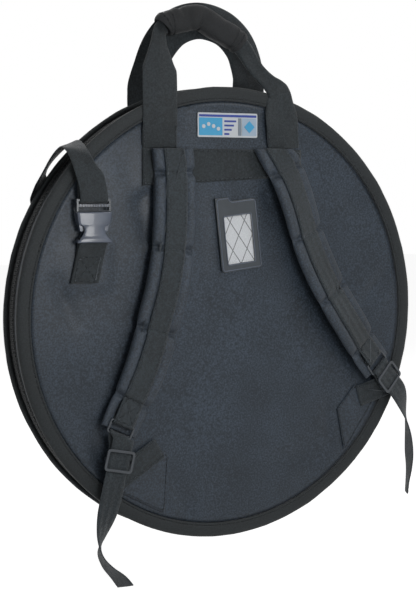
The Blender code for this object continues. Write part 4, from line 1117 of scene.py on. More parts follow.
    def build_binding(self, side: int, label: str, ride: str | Fold) -> None:
        """Build the folded tape round one half's edge, and its stitches.

        Args:
            side: -1 for the strap side, 1 for the cover.
            label: The first word of its name.
            ride: The body that it rides on, or its fold.
        """
        inner, rim = self.binding_in_r, BAG.rim_r
        out = BAG.face_y + BAG.binding_proud
        back = out - self.flange_thick
        seam = inner + self.seam_inset
        outline = [
            (inner, BAG.face_y - self.skin), (inner, out - 0.0013), (inner + 0.0004, out - 0.0005),
            (inner + 0.0012, out), (seam - 0.0009, out - 0.0001), (seam, out - 0.0007),
            (seam + 0.0011, out - 0.0001), (seam + 0.0035, out + 0.0003),
            (rim - 0.0080, out + 0.0004), (rim - 0.0045, out + 0.0001),
            (rim - 0.0021, out - 0.0004), (rim - 0.0007, out - 0.0013), (rim, out - 0.0028),
            (rim, back + 0.0022), (rim - 0.0007, back + 0.0009), (rim - 0.0020, back),
            (rim - self.flange_high, back), (rim - self.flange_high, BAG.face_y - self.skin),
        ]
        work = self.spun([(r, side * y) for r, y in outline], band=True)
        long, short = self.tape_waves
        for vertex in work.verts:
            x, y, z = vertex.co
            r = math.hypot(x, z)
            if r < inner + 0.0008 or abs(y) < back + 0.0005:
                continue
            turn = Vector((x / r * self.tape_turns, z / r * self.tape_turns, side * 2.3))
            wave = long * noise.noise(turn) + short * noise.noise(turn * 3)
            grown = 1 + wave * min(1.0, (r - inner) / BAG.binding_wide) / r
            vertex.co = (x * grown, y + side * wave * 0.8, z * grown)
        finish_piece(f"{label}_binding_tape", work, BINDING, ride,
                     [f"{label}_binding"])
        places = self.arc(seam, side * (out - 0.0004), np.linspace(0, math.tau, 721))
        normals = np.tile((0.0, float(side), 0.0), (len(places), 1))
        SEAM.sew(f"{label}_binding_stitches", [(places, normals)], ride)

    def build_gusset(self) -> None:
        """Build the cloth wall, the panel that the cover hinges on, and the zip's two tapes."""
        foam_out = BAG.face_y - self.skin - BAG.gap
        finish_piece("gusset_cloth", self.spun(self.wall(-foam_out, 0, 7, 0.0005)), NYLON,
                     "back_shell", ["gusset"])
        start, length = -math.pi / 2 - self.hinge_half, 2 * self.hinge_half
        back = BAG.face_y + BAG.binding_proud - self.flange_thick
        work = self.spun(self.wall(BAG.gap, back - 2 * BAG.gap, 9), start, length)
        finish_piece("hinge_cloth", work, NYLON, COVER_FOLD, ["hinge_panel"])
        start, length = start + length, math.tau - length
        tooth = self.zip_slot / 2
        for label, sewn, mouth, sign, share, ride in (
                ("back", BAG.gap, self.zip_y - tooth, -1, 0.35, "back_shell"),
                ("front", foam_out, self.zip_y + tooth, 1, 0.30, COVER_FOLD)):
            work = self.spun(self.wall(sewn, mouth, 6), start, length, band=True)
            finish_piece(f"zip_{label}_cloth", work, ZIP_CLOTH, ride,
                         [f"zip_tape_{label}"])
            self.build_teeth(label, mouth + sign * self.teeth_wide / 2, start, length, ride)
            turns = np.linspace(start, start + length, 600)
            places = self.arc(self.gusset_r + self.zip_stitch, sewn + (mouth - sewn) * share, turns)
            SEAM.sew(f"zip_{label}_stitches", [(places, self.arc(1, 0, turns))], ride)

    def build_teeth(self, label: str, y: float, start: float, length: float,
                    ride: str | Fold) -> None:
        """Build one row of coil teeth.

        Args:
            label: back or front.
            y: The middle of the row.
            start: The angle that it starts at.
            length: The angle that it runs through.
            ride: The body that it rides on, or its fold.
        """
        count = round(length * self.gusset_r / self.tooth_pitch)
        work = bmesh.new()
        bmesh.ops.create_cube(work, size=1)
        bmesh.ops.scale(work, vec=(self.teeth_proud, self.teeth_wide, self.tooth_pitch * 0.62),
                        verts=work.verts)
        edges = [e for e in work.edges if e.verts[0].co.x > 0
                 and abs(e.verts[0].co.y - e.verts[1].co.y) > self.teeth_wide / 2]
        bmesh.ops.bevel(work, geom=edges, offset=self.tooth_round, segments=1, profile=0.5,
                        affect="EDGES", material=-1)
        radius = self.gusset_r + self.teeth_proud / 2 - self.teeth_sunk
        angles = [start + (k + 0.5) / count * length for k in range(count)]
        turns = [Matrix.Rotation(-angle, 4, "Y") @ Matrix.Translation((radius, y, 0))
                 for angle in angles]
        finish_piece(f"zip_{label}_teeth", repeat(work, turns), TEETH_PLASTIC, ride,
                     smooth=False)

    def build_dividers(self) -> None:
        """Build the two cloth sheets that part the cymbals."""
        grown = self.inside_r / self.divider_r
        lower, upper = self.divider_fold

        def hem(co: Vector) -> Vector:
            if abs(math.atan2(co.x, -co.z)) < self.hinge_half + BAG.gap:
                co = Vector((co.x * grown, co.y, co.z * grown))
            return co + Vector((0, BAG.gap * noise.noise(co * 14), 0))

        for number, name, side in ((1, "first", -1), (2, "second", 1)):
            middle = side * self.divider_y
            faces = (middle - self.divider_thick / 2, middle + self.divider_thick / 2)
            work = self.disc(self.divider_r, faces, self.divider_rings, hem)
            fold = Fold("back_shell", f"{name}_divider", (0, middle, lower), (0, middle, upper))
            sheet = finish_piece(f"{name}_divider_cloth", work, LINING, fold,
                                 [f"divider_{number}"])

    def build(self) -> None:
        """Build the whole round body."""
        self.build_half(-1, "back")
        self.build_half(1, "front")
        self.build_gusset()
        self.build_dividers()


# Shoulder straps


@dataclass
class StrapPlan:
    """The tables of one shoulder strap, as in the solids."""

    side: str
    pad: tuple
    seams: tuple
    tail: tuple
    ring_share: float
    glide_share: float
    anchor: tuple
    tab: tuple


LEFT_STRAP = StrapPlan(
    "left",
    ((-0.287, 0.727, 0.00, 0.98, 0.0), (-0.276, 0.640, 0.02, 0.99, 0.0),
     (-0.275, 0.556, 0.10, 1.00, 0.0), (-0.280, 0.413, 0.30, 1.02, 0.0),
     (-0.294, 0.257, 0.40, 1.03, 0.0), (-0.323, 0.110, 0.45, 1.03, 0.0),
     (-0.360, -0.010, 0.45, 1.02, 0.0), (-0.387, -0.110, 0.45, 1.00, 0.0),
     (-0.428, -0.220, 0.45, 0.97, 0.0), (-0.482, -0.333, 0.45, 0.92, 0.0),
     (-0.530, -0.425, 0.45, 0.88, 0.0), (-0.556, -0.480, 0.45, 0.86, 0.0)),
    (0.0, 0.085, 0.345, 0.63, 0.885, 1.0),
    ((-0.5410, -0.5100, 1.75, 1.00, 0.00), (-0.5550, -0.5750, 1.65, 1.00, 0.00),
     (-0.5690, -0.6400, 1.55, 1.00, 0.00), (-0.5830, -0.7050, 1.45, 1.00, 0.00),
     (-0.5970, -0.7700, 1.35, 1.00, 0.00), (-0.6130, -0.8400, 1.15, 1.00, 0.06),
     (-0.6300, -0.9300, 0.80, 1.00, 0.24), (-0.6320, -1.0050, 0.60, 1.00, 0.44),
     (-0.5980, -1.0650, 0.50, 1.00, 0.55), (-0.5500, -1.1150, 0.50, 1.00, 0.62),
     (-0.5150, -1.1600, 0.50, 1.00, 0.64)),
    0.990, 0.135,
    ((-0.345, -0.572, 0.35), (-0.450, -0.632, 0.52), (-0.560, -0.694, 0.66)),
    ((-0.385, -0.560), (-0.300, -0.600), (-0.318, -0.865), (-0.535, -0.750)))
RIGHT_STRAP = StrapPlan(
    "right",
    ((0.222, 0.727, 0.00, 0.98, 0.10), (0.258, 0.670, 0.03, 0.98, 0.40),
     (0.295, 0.590, 0.07, 0.98, 0.80), (0.340, 0.470, 0.12, 1.00, 1.00),
     (0.388, 0.327, 0.16, 1.00, 1.00), (0.455, 0.185, 0.18, 1.00, 1.00),
     (0.537, 0.050, 0.20, 0.98, 1.00), (0.615, -0.060, 0.20, 0.96, 0.95),
     (0.690, -0.163, 0.18, 0.93, 0.85), (0.768, -0.255, 0.16, 0.89, 0.72),
     (0.786, -0.278, 0.15, 0.88, 0.70)),
    (0.0, 0.098, 0.356, 0.62, 0.88, 1.0),
    ((0.8060, -0.2900, 1.85, 1.00, 0.058), (0.8340, -0.3210, 1.77, 1.00, 0.058),
     (0.8620, -0.3520, 1.69, 1.00, 0.058), (0.9040, -0.3985, 1.57, 1.00, 0.058),
     (0.9320, -0.4450, 1.40, 1.00, 0.13), (0.9620, -0.5200, 1.10, 1.00, 0.28),
     (0.9850, -0.6080, 0.85, 1.00, 0.38), (0.9950, -0.7000, 0.70, 1.00, 0.42),
     (0.9960, -0.7800, 0.65, 1.00, 0.38), (0.9900, -0.8450, 0.60, 1.00, 0.34),
     (0.9850, -0.9000, 0.60, 1.00, 0.33)),
    0.980, 0.080,
    ((0.705, -0.418, 0.35), (0.790, -0.395, 0.37), (0.880, -0.368, 0.40)),
    ((0.590, -0.470), (0.690, -0.360), (0.800, -0.435), (0.630, -0.670)))


@dataclass
class ShoulderStrap:
    """A padded strap with its webbing, ring, tri-glide, hanging tail and sewn lower tab."""

    plan: StrapPlan
    pad_wide: float = 0.061
    pad_thick: float = 0.0120
    tongue: float = 0.0042
    lift: float = 0.0100
    base: float = 0.0024
    lean: float = math.radians(15)
    wire_r: float = 0.0016
    ring_long: float = 0.0190
    hold: float = 0.0070
    tab_thick: float = 0.0020
    level_over: float = 0.036
    steps: int = 12
    box_inset: float = 0.003
    # How much a cross seam draws the pad's sides in, and over what stretch
    drawn_in: tuple[float, float] = (0.0046, 0.0042)
    drawn_wide: tuple[float, float] = (0.0010, 0.016)
    webbing_dip: tuple[float, float] = (0.0016, 0.0035)
    # Places across half a pad, its crown there, and how far its lower side rises
    profile: tuple = (
        (0, 0.76, 0), (0.30, 0.75, 0), (0.47, 0.75, 0), (0.52, 0.78, 0), (0.56, 0.86, 0),
        (0.62, 0.94, 0), (0.70, 0.98, 0), (0.80, 0.96, 0), (0.89, 0.89, 0.02),
        (0.95, 0.76, 0.09), (0.985, 0.60, 0.20), (1, 0.42, 0.34))
    # Where the pad's seam margin begins and over what width it grows full
    margin: tuple[float, float] = (0.50, 0.12)
    # How much a cross seam pinches the pad's middle, its margins, and the margins far from it
    pinch: tuple[float, float, float] = (0.20, 0.50, 0.10)
    # Noise scale along and across, and depth, of the pad's soft waves and of those near a seam
    soft_wave: tuple[float, float, float] = (38, 2.2, 0.00055)
    seam_wave: tuple[float, float, float] = (150, 3.0, 0.00035)
    end_puff: float = 0.0030
    # Spacing of rows along the pad, the ring's loop and the other webbings
    pad_step: float = 0.0028
    loop_step: float = 0.0012
    web_step: float = 0.0030
    edge_inset: float = 0.0026
    end_inset: float = 0.001
    pad: Course = field(init=False)
    web: Course = field(init=False)
    # The ring's lower bar, and the directions along, across and outwards there
    ring: tuple[Vector, Vector, Vector, Vector] = field(init=False)

    @property
    def body(self) -> str:
        """The body that the strap rides on."""
        return f"{self.plan.side}_strap"

    @property
    def turn_r(self) -> float:
        """Radius at which a webbing's middle turns round a bar."""
        return self.wire_r + BAG.gap + BAG.web / 2

    def course(self, table: Sequence[Sequence[float]], base: float, wide: float,
               turn: float) -> Course:
        """Make a course over the strap side.

        Args:
            table: Rows of x, height, lift, width and lean, in shares.
            base: Distance from the panel where the lift is zero.
            wide: The full width.
            turn: The lean at a share of 1.

        Returns:
            The course.
        """
        rows = smooth_rows(table, self.steps)
        x, height, lift, width, lean = rows.T
        droop = np.abs(np.sin(lean * turn)) * width * wide / 2 if base > 0 else 0
        proud = base + lift * self.lift + droop
        places = np.stack([x * BAG.rim_r, -BAG.face_y - proud, height * BAG.rim_r], axis=1)
        return Course.through(places, width * wide, lean * turn)

    def seam_distance(self, course: Course) -> np.ndarray:
        """Return each row's distance to the nearest cross seam."""
        total = course.lengths[-1]
        seams = np.array(self.plan.seams[1:-1]) * total
        return np.abs(course.lengths[:, None] - seams).min(axis=1)

    def thickness(self, course: Course) -> np.ndarray:
        """Return the pad's thickness at each row, which drops past its last cross seam."""
        share = course.lengths / course.lengths[-1]
        past = np.clip((share - self.plan.seams[-2]) / 0.03, 0, 1)
        return self.pad_thick + (self.tongue - self.pad_thick) * eased(past)

    def build_pad(self) -> None:
        """Build the pad, drawn in at its cross seams, with the webbing's seams."""
        side = self.plan.side
        course = self.course(self.plan.pad, self.base, self.pad_wide, self.lean)
        course = course.spaced(self.pad_step)
        level = np.clip(1 - course.lengths / self.level_over, 0, 1)[:, None] ** 0.7
        course.sides = unit(course.sides * (1 - level) + np.array((1.0, 0, 0)) * level
                            * np.sign(course.sides[:, :1]))
        self.pad = course
        away = self.seam_distance(course)
        (narrow, near), (slight, far) = self.drawn_in, self.drawn_wide
        drawn = np.exp(-(away / near) ** 2)
        wide_drawn = np.exp(-(away / far) ** 2)
        thick = self.thickness(course)
        widths = course.widths - narrow * drawn - slight * wide_drawn
        across, crown, under = mirrored(self.profile).T
        first, over = self.margin
        margin = np.clip((np.abs(across) - first) / over, 0, 1)
        lengths = course.lengths
        inner, outer, wide = self.pinch
        pinch = 1 - drawn[:, None] * (inner + outer * margin) \
            - wide * wide_drawn[:, None] * margin
        seed = 1.3 if side == "left" else 6.1
        soft, near_seam = (waves(lengths[:, None], across, scale, seed) * deep
                           for *scale, deep in (self.soft_wave, self.seam_wave))
        soft = soft + near_seam * (0.4 + wide_drawn[:, None])
        past = 1 - (thick - self.tongue) / (self.pad_thick - self.tongue)
        puffed = thick[:, None] + past[:, None] * margin * self.end_puff
        high = puffed * crown * pinch + soft * margin
        low = puffed * under * (1 - 0.3 * drawn[:, None])
        middle, normals, uv = course.spread(widths[:, None] / 2 * across)
        pad = finish_piece(f"{side}_pad_cushion", cloth_body(middle, normals, low, high, uv), NYLON,
                           PAD_FOLDS[side], [f"pad_{side}"], levels=1)
        lines = []
        for share in self.plan.seams[1:-1]:
            row = int(np.argmin(np.abs(lengths / lengths[-1] - share)))
            for part in (slice(1, 8), slice(15, 22)):
                rise = (high[row, part] + BAG.stitch_proud)[:, None]
                lines.append((middle[row, part] + normals[row, part] * rise, normals[row, part]))
        SEAM.sew(f"{side}_pad_stitches", lines, PAD_FOLDS[side])

    def build_webbing(self) -> None:
        """Build the webbing sewn along the pad, up to its last cross seam and on to its end."""
        side, pad = self.plan.side, self.pad
        deep, over = self.webbing_dip
        dip = deep * np.exp(-(self.seam_distance(pad) / over) ** 2)
        line = pad.raised(self.pad_thick * 0.76 + BAG.run + BAG.web / 2 - dip)
        keep = pad.lengths <= pad.lengths[-1] * self.plan.seams[-2]
        course = Course(line.places[keep], np.full(keep.sum(), BAG.strap_web),
                        line.sides[keep], line.normals[keep])
        self.web = course
        finish_piece(f"{side}_pad_webbing_band", ribbon(course, seed=2.2), WEBBING,
                     PAD_FOLDS[side], [f"pad_webbing_{side}"])
        lines = edge_lines(course, self.edge_inset, BAG.on_web)
        for share in self.plan.seams[1:-1]:
            row = int(np.argmin(np.abs(pad.lengths / pad.lengths[-1] - share)))
            row = min(row, len(course.places) - 1)
            lines.append(cross_line(course, row, self.end_inset, 12))
        SHEEN_PAINTED_SEAM.sew(f"{side}_webbing_stitches", lines, PAD_FOLDS[side])

    def build_ring_loop(self) -> None:
        """Build the box stitched end of the webbing, which holds the ring."""
        side = self.plan.side
        centre, along, across, normal = self.pad.at(self.plan.ring_share)
        middle = centre + normal * (self.tongue + BAG.web + 2 * BAG.gap + self.wire_r)
        reach = self.ring_long / 2 - self.wire_r
        top_bar = middle - along * reach
        self.ring = (middle + along * reach, along, across, normal)
        start = Vector(self.web.places[-1])
        loop = [start + (top_bar + normal * self.turn_r - start).normalized() * BAG.run]
        loop += round_bar(top_bar, along, normal, self.turn_r)
        loop.append(loop[-1] - along * self.hold)
        course = Course.through(loop, BAG.strap_web, sides=[across] * len(loop))
        finish_piece(f"{side}_ring_loop_band",
                     ribbon(course.spaced(self.loop_step), bow=0.0, ripple=0.0001), WEBBING,
                     self.body, [f"ring_loop_{side}"])
        span = course.read(np.linspace(self.end_inset, course.lengths[1] - self.end_inset, 14))
        half = BAG.strap_web / 2 - self.box_inset
        corners = [span.places[row] + span.sides[row] * half * edge
                   for row in (0, -1) for edge in (-1, 1)]
        lines = edge_lines(span, self.box_inset, BAG.on_web)
        out = span.normals[7]
        share = np.linspace(0, 1, 12)[:, None]
        for a, b in ((0, 1), (2, 3), (0, 3), (1, 2)):
            places = corners[a] * (1 - share) + corners[b] * share + out * BAG.on_web
            lines.append((places, np.tile(out, (12, 1))))
        SHEEN_PAINTED_SEAM.sew(f"{side}_box_stitches", lines, self.body)

    def build_adjuster(self) -> None:
        """Build the adjuster webbing: round the ring, through the tri-glide and down its tail."""
        side = self.plan.side
        low_bar, along, across, normal = self.ring
        tail = self.course(self.plan.tail, 0, BAG.strap_web, math.pi)
        bend = round_bar(low_bar, -along, normal, self.turn_r)[::-1]
        first = Vector(tail.places[0])
        run = Vector(tail.places[self.steps]) - first
        back = first + run * 0.60
        back.y = -BAG.face_y - self.tab_thick - self.base - self.lift * 0.55
        places = [back + run, back] + bend + [Vector(p) for p in tail.places]
        sides = [-Vector(tail.sides[0])] * 2 + [-across] * len(bend)
        sides += [-Vector(s) for s in tail.sides]
        course = Course.through(places, BAG.strap_web, sides=sides).spaced(self.web_step)
        finish_piece(f"{side}_adjuster_band", ribbon(course, bow=0.0003, seed=4.4), WEBBING,
                     self.body, [f"adjuster_webbing_{side}"])
        end = tail.between(0.955, 0.985, 0.001)
        lines = [cross_line(end, row, self.end_inset, 10) for row in (0, -1)]
        SHEEN_PAINTED_SEAM.sew(f"{side}_tail_stitches", lines, self.body)

    def build_anchor(self) -> None:
        """Build the lower webbing that the tab holds."""
        side = self.plan.side
        first = self.plan.anchor[0][2]
        base = BAG.face_y + self.tab_thick + BAG.gap + BAG.on_panel
        places = [(x * BAG.rim_r, -base - (share - first) * self.lift, height * BAG.rim_r)
                  for x, height, share in smooth_rows(self.plan.anchor, self.steps)]
        course = Course.through(places, BAG.strap_web).spaced(self.web_step)
        finish_piece(f"{side}_anchor_band", ribbon(course, seed=7.7), WEBBING,
                     ANCHOR_FOLDS[side], [f"anchor_webbing_{side}"])
        SHEEN_PAINTED_SEAM.sew(f"{side}_anchor_stitches", edge_lines(course, self.box_inset, BAG.on_web),
                      ANCHOR_FOLDS[side])

    def build_tab(self) -> None:
        """Build the sewn cloth tab that holds the lower webbing."""
        side = self.plan.side
        corners = [np.array((x * BAG.rim_r, 0, h * BAG.rim_r)) for x, h in self.plan.tab]
        a, b, c, d = corners
        share = np.linspace(0, 1, 15)
        u, v = share[:, None, None], share[None, :, None]
        middle = (a * (1 - u) + b * u) * (1 - v) + (d * (1 - u) + c * u) * v
        puff = np.sin(math.pi * share)[:, None] * np.sin(math.pi * share)
        folds = waves(middle[..., 0], middle[..., 2], (60, 60), 5.5)
        under_web = np.clip((share - 0.42) / 0.2, 0, 1)
        high = BAG.gap + self.tab_thick + puff * (0.0006 + 0.0009 * under_web + 0.0007 * folds)
        middle = middle + np.array((0, -BAG.face_y, 0))
        normals = np.broadcast_to((0.0, -1.0, 0.0), middle.shape)
        work = cloth_body(middle, normals, np.full_like(high, BAG.gap), high, middle[..., (0, 2)])
        finish_piece(f"{side}_anchor_cloth", work, NYLON, "back_shell",
                     [f"anchor_tab_{side}"], levels=1)
        inset = [tuple((p * 0.93 + (a + b + c + d) / 4 * 0.07)[[0, 2]]) for p in corners]
        line = flat_line(inset + inset[:1], self.tab_thick + 2 * BAG.gap)
        SEAM.sew(f"{side}_tab_stitches", [line], "back_shell")

    def build(self) -> None:
        """Build the whole strap."""
        self.build_pad()
        self.build_webbing()
        self.build_ring_loop()
        self.build_adjuster()
        self.build_anchor()
        self.build_tab()


# Handles


@dataclass
class Handles:
    """The near handle with its padded grip, and the cover's handle behind it."""

    back_y: float = -0.010
    front_y: float = 0.0045
    steps: int = 12
    fold_r: float = 0.0019
    grip_high: float = 0.032
    grip_thick: float = 0.022
    grip_span: tuple[float, float] = (0.280, 0.720)
    cuff: float = 0.085
    back_table: tuple = (
        (-0.3370, 0.9743, 1.00, 0.00), (-0.3370, 1.0000, 1.00, 0.02),
        (-0.3350, 1.0550, 0.98, 0.12), (-0.3300, 1.1200, 0.72, 0.32),
        (-0.3230, 1.1800, 0.46, 0.60), (-0.3080, 1.2350, 0.38, 0.88),
        (-0.2720, 1.2660, 0.50, 1.00), (-0.2200, 1.2790, 0.50, 1.00),
        (-0.1650, 1.2930, 0.50, 1.00), (-0.1180, 1.2960, 0.50, 1.00),
        (-0.0700, 1.2770, 0.50, 1.00), (0.0000, 1.2430, 0.50, 1.00),
        (0.0640, 1.2110, 0.50, 1.00), (0.1120, 1.1700, 0.50, 0.96),
        (0.1450, 1.1150, 0.46, 0.78), (0.1780, 1.0700, 0.43, 0.55),
        (0.2150, 1.0280, 0.46, 0.16), (0.2440, 1.0000, 0.60, -0.03),
        (0.2640, 0.9743, 0.76, 0.00))
    front_table: tuple = (
        (-0.3250, 0.9743, 1.00, 0.00), (-0.3250, 1.0000, 1.00, 0.02),
        (-0.3080, 1.0700, 1.00, 0.28), (-0.2770, 1.1700, 1.00, 0.62),
        (-0.2050, 1.2550, 0.98, 0.92), (-0.0900, 1.2900, 0.96, 1.00),
        (0.0350, 1.2600, 0.96, 1.00), (0.1250, 1.1850, 0.98, 0.84),
        (0.1820, 1.0850, 1.00, 0.40), (0.2050, 1.0120, 1.00, 0.00),
        (0.2050, 0.9743, 1.00, 0.00))
    # Each leg's x at the yoke and at the fold, and its rise over the binding along it
    back_legs: tuple = ((-0.3370, -0.3370), (0.2930, 0.2640))
    narrowing: tuple = ((0.0, 1.0), (0.55, 1.0), (1.0, 0.78))
    front_legs: tuple = (-0.3250, 0.2050)
    rises: tuple = ((0.0, 0.0), (0.26, 0.0), (0.42, 1.0), (1.0, 1.0))
    stitch_inset: float = 0.0025
    stitch_rise: float = 0.0004
    # Shares of the near and the cover handle's length where stitches run in from each end
    back_sewn: float = 0.072
    front_sewn: float = 0.022
    # Creases round the grip: place along it, skew, depth, half width and facing
    grip_creases: tuple = (
        (0.235, 0.02, 0.13, 0.030, -0.3), (0.34, -0.04, 0.20, 0.035, 0.1),
        (0.44, 0.03, 0.20, 0.030, 0.4), (0.53, -0.03, 0.12, 0.040, 0.2),
        (0.70, 0.03, 0.07, 0.045, -0.2), (0.12, 0.02, 0.08, 0.030, -0.4))
    grip_squareness: float = 0.82
    # Depth and half width of the grooves at the cuffs and of the taper at the ends
    cuff_groove: tuple[float, float] = (0.10, 0.010)
    end_taper: tuple[float, float] = (0.16, 0.016)
    grip_wave: float = 0.05
    grip_bulge: float = 0.06
    grip_wrap: float = 0.045
    grip_inset: float = 0.004
    # Scale and inward step of each turn of cloth that closes the grip's ends
    end_turns: tuple = ((0.90, 0.0), (0.84, 0.0045))
    # Spacing of rows along the near handle, the cover's handle and the grip
    back_step: float = 0.0035
    front_step: float = 0.0040
    grip_step: float = 0.0022
    least_shown: float = 0.004
    fold_wave: float = 0.0009

    def free_part(self, table: Sequence[Sequence[float]], side: int,
                  grip_y: float) -> tuple[np.ndarray, np.ndarray]:
        """Return the places and widths of a handle's free webbing."""
        rows = smooth_rows(table, self.steps)
        x, height, width, inward = rows.T
        start = side * (BAG.face_y + BAG.on_binding)
        y = start + (grip_y - start) * inward
        places = np.stack([x * BAG.rim_r, y, height * BAG.rim_r], axis=1)
        return places, width

    def leg(self, low_x: float, high_x: float) -> np.ndarray:
        """Return the places of a near leg, from the yoke up over the binding."""
        low = BAG.yoke_high + BAG.gap
        high = BAG.fold_height - BAG.gap
        shares = np.linspace(0, 1, 25)[:-1]
        points, rise = zip(*self.rises)
        lift = np.interp(shares, points, rise)
        proud = BAG.on_panel + lift * BAG.binding_proud
        x = (low_x + (high_x - low_x) * shares) * BAG.rim_r
        return np.stack([x, -BAG.face_y - proud, low + (high - low) * shares], axis=1)

    def folded(self, course: Course, full: float, seed: float) -> bmesh.types.BMesh:
        """Make a webbing whose edges fold back behind it where it narrows.

        Args:
            course: The course, whose widths are those that show.
            full: The webbing's own width.
            seed: Picks the ripple.

        Returns:
            The webbing's bmesh.
        """
        across = np.linspace(-1, 1, 25)
        own = across[None, :] * full / 2
        shown = np.maximum(course.widths[:, None] / 2 - self.fold_r, self.least_shown)
        beyond = np.maximum(np.abs(own) - shown, 0)
        hold = np.clip((full / 2 - shown) / (math.pi * self.fold_r), 0, 1)
        turn = np.minimum(beyond / self.fold_r, math.pi) * np.where(hold >= 1, 1, hold)
        rest = np.maximum(beyond - math.pi * self.fold_r, 0)
        bent = self.fold_r * np.sin(turn) + np.where(
            hold >= 1, 0, np.maximum(beyond - self.fold_r * turn, 0))
        lateral = np.sign(own) * (np.minimum(np.abs(own), shown) + bent - rest)
        depth = waves(course.lengths[:, None], across, (28, 1.1), seed) * self.fold_wave \
            - self.fold_r * (1 - np.cos(turn))
        middle, flat, _ = course.spread(lateral)
        middle = middle + flat * depth[..., None]
        normals = unit(flat * np.cos(turn)[..., None]
                       + course.sides[:, None] * (np.sign(own) * np.sin(turn))[..., None])
        body = np.where(np.abs(across) > 0.98, SELVAGE, 1.0) * BAG.web / 2
        low = np.broadcast_to(-body, middle.shape[:2])
        uv = np.stack(np.broadcast_arrays(own, course.lengths[:, None]), axis=-1)
        edge = np.broadcast_to(np.abs(across), middle.shape[:2])
        return cloth_body(middle, normals, low, -low, uv, edge)

    def end_lines(self, course: Course, sewn: float, rows: int,
                  side: int) -> list[tuple[np.ndarray, np.ndarray]]:
        """Return the stitch lines along both sewn ends of a handle.

        Args:
            course: The handle's course.
            sewn: The share of its length that is sewn at each end.
            rows: Points of a line.
            side: 1 on the webbing's outer side, -1 on its inner side.

        Returns:
            Each line's points and normals.
        """
        total = course.lengths[-1]
        rise = side * (BAG.web / 2 + self.stitch_rise)
        lines = []
        for low, high in ((0.0, sewn), (1 - sewn, 1.0)):
            part = course.read(np.linspace(low * total, high * total, rows))
            lines += edge_lines(part, self.stitch_inset, rise)
        return lines

    def build_back(self) -> None:
        """Build the near handle's webbing from the yoke round to the yoke."""
        free, width = self.free_part(self.back_table, -1, self.back_y)
        left, right = (self.leg(*leg) for leg in self.back_legs)
        narrow = np.interp(np.linspace(1, 0, len(right)), *zip(*self.narrowing))
        widths = np.concatenate([np.ones(len(left)), width, narrow])
        places = np.vstack([left, free, right[::-1]])
        course = Course.through(places, widths * BAG.handle_web)
        course = course.spaced(self.back_step)
        finish_piece("near_handle_band", self.folded(course, BAG.handle_web, 3.1), WIDE_WEBBING,
                     BACK_HANDLE_FOLD,
                     ["back_handle_webbing", "back_handle_leg_left", "back_handle_leg_right"],
                     levels=1)
        SHEEN_PAINTED_SEAM.sew("near_handle_stitches", self.end_lines(course, self.back_sewn, 30, 1),
                      "back_shell")

    def build_front(self) -> None:
        """Build the cover's handle, from its sewn ends on the binding."""
        free, width = self.free_part(self.front_table, 1, self.front_y)
        y = BAG.face_y + BAG.on_binding
        ends = []
        for share in self.front_legs:
            x = share * BAG.rim_r
            near = abs(x) - BAG.handle_web / 2
            low = math.sqrt((BAG.rim_r - BAG.binding_wide) ** 2 - near ** 2) + BAG.gap
            heights = np.linspace(low, BAG.fold_height - BAG.gap, 10)[:-1]
            ends.append(np.stack([np.full(9, x), np.full(9, y), heights], axis=1))
        places = np.vstack([ends[0], free, ends[1][::-1]])
        widths = np.concatenate([np.ones(9), width, np.ones(9)]) * BAG.handle_web
        course = Course.through(places, widths).spaced(self.front_step)
        finish_piece("cover_handle_band", ribbon(course, bow=0.0008, seed=9.2, ripple=0.0010),
                     WIDE_WEBBING, FRONT_HANDLE_FOLD,
                     ["front_handle_webbing", "front_handle_leg_left", "front_handle_leg_right"],
                     levels=1)
        SHEEN_PAINTED_SEAM.sew("cover_handle_stitches", self.end_lines(course, self.front_sewn, 12, -1),
                      "front_cover")

    def grip_radii(self, share: np.ndarray, turns: np.ndarray) -> np.ndarray:
        """Work out how full the grip is, with its creases, cuffs and soft waves.

        Args:
            share: Places along the grip.
            turns: Angles round it.

        Returns:
            Radii, by row and column, where 1 is the plain grip.
        """
        radial = np.ones((len(share), len(turns)))
        for at, skew, deep, half, facing in self.grip_creases:
            reach = np.clip(np.cos(turns - math.pi / 2 - facing * 2), 0, 1) ** 0.7
            where = at + skew * np.sin(turns)
            radial -= deep * reach * np.exp(-((share[:, None] - where) / half) ** 2)
        for end in (0.0, 1.0):
            into = np.abs(share - end)
            for at, (deep, half) in ((self.cuff, self.cuff_groove), (0, self.end_taper)):
                radial *= (1 - deep * np.exp(-((into - at) / half) ** 2))[:, None]
        wave = np.array([[noise.noise(Vector((s * 9, math.cos(t) * 1.6, math.sin(t) * 1.6)))
                          for t in turns[:-1]] for s in share])
        wave = np.hstack([wave, wave[:, :1]]) * self.grip_wave
        return (radial + wave) * (1 + self.grip_bulge * np.sin(math.pi * share))[:, None]

    def close_grip(self, work: bmesh.types.BMesh, course: Course) -> None:
        """Turn both ends of the grip's tube in and close them."""
        for first, second in ((0, 1), (-1, -2)):
            centre = Vector(course.places[first])
            along = Vector(course.places[second] - course.places[first]).normalized()
            rim = [e for e in work.edges if e.is_boundary
                   and (e.verts[0].co - centre).length < self.grip_high]
            for scale, step in self.end_turns:
                made = bmesh.ops.extrude_edge_only(work, edges=rim)["geom"]
                rim = [e for e in made if isinstance(e, bmesh.types.BMEdge) and e.is_boundary]
                for vertex in made:
                    if isinstance(vertex, bmesh.types.BMVert):
                        vertex.co = centre + (vertex.co - centre) * scale + along * step
        bmesh.ops.holes_fill(work, edges=[e for e in work.edges if e.is_boundary], sides=0)

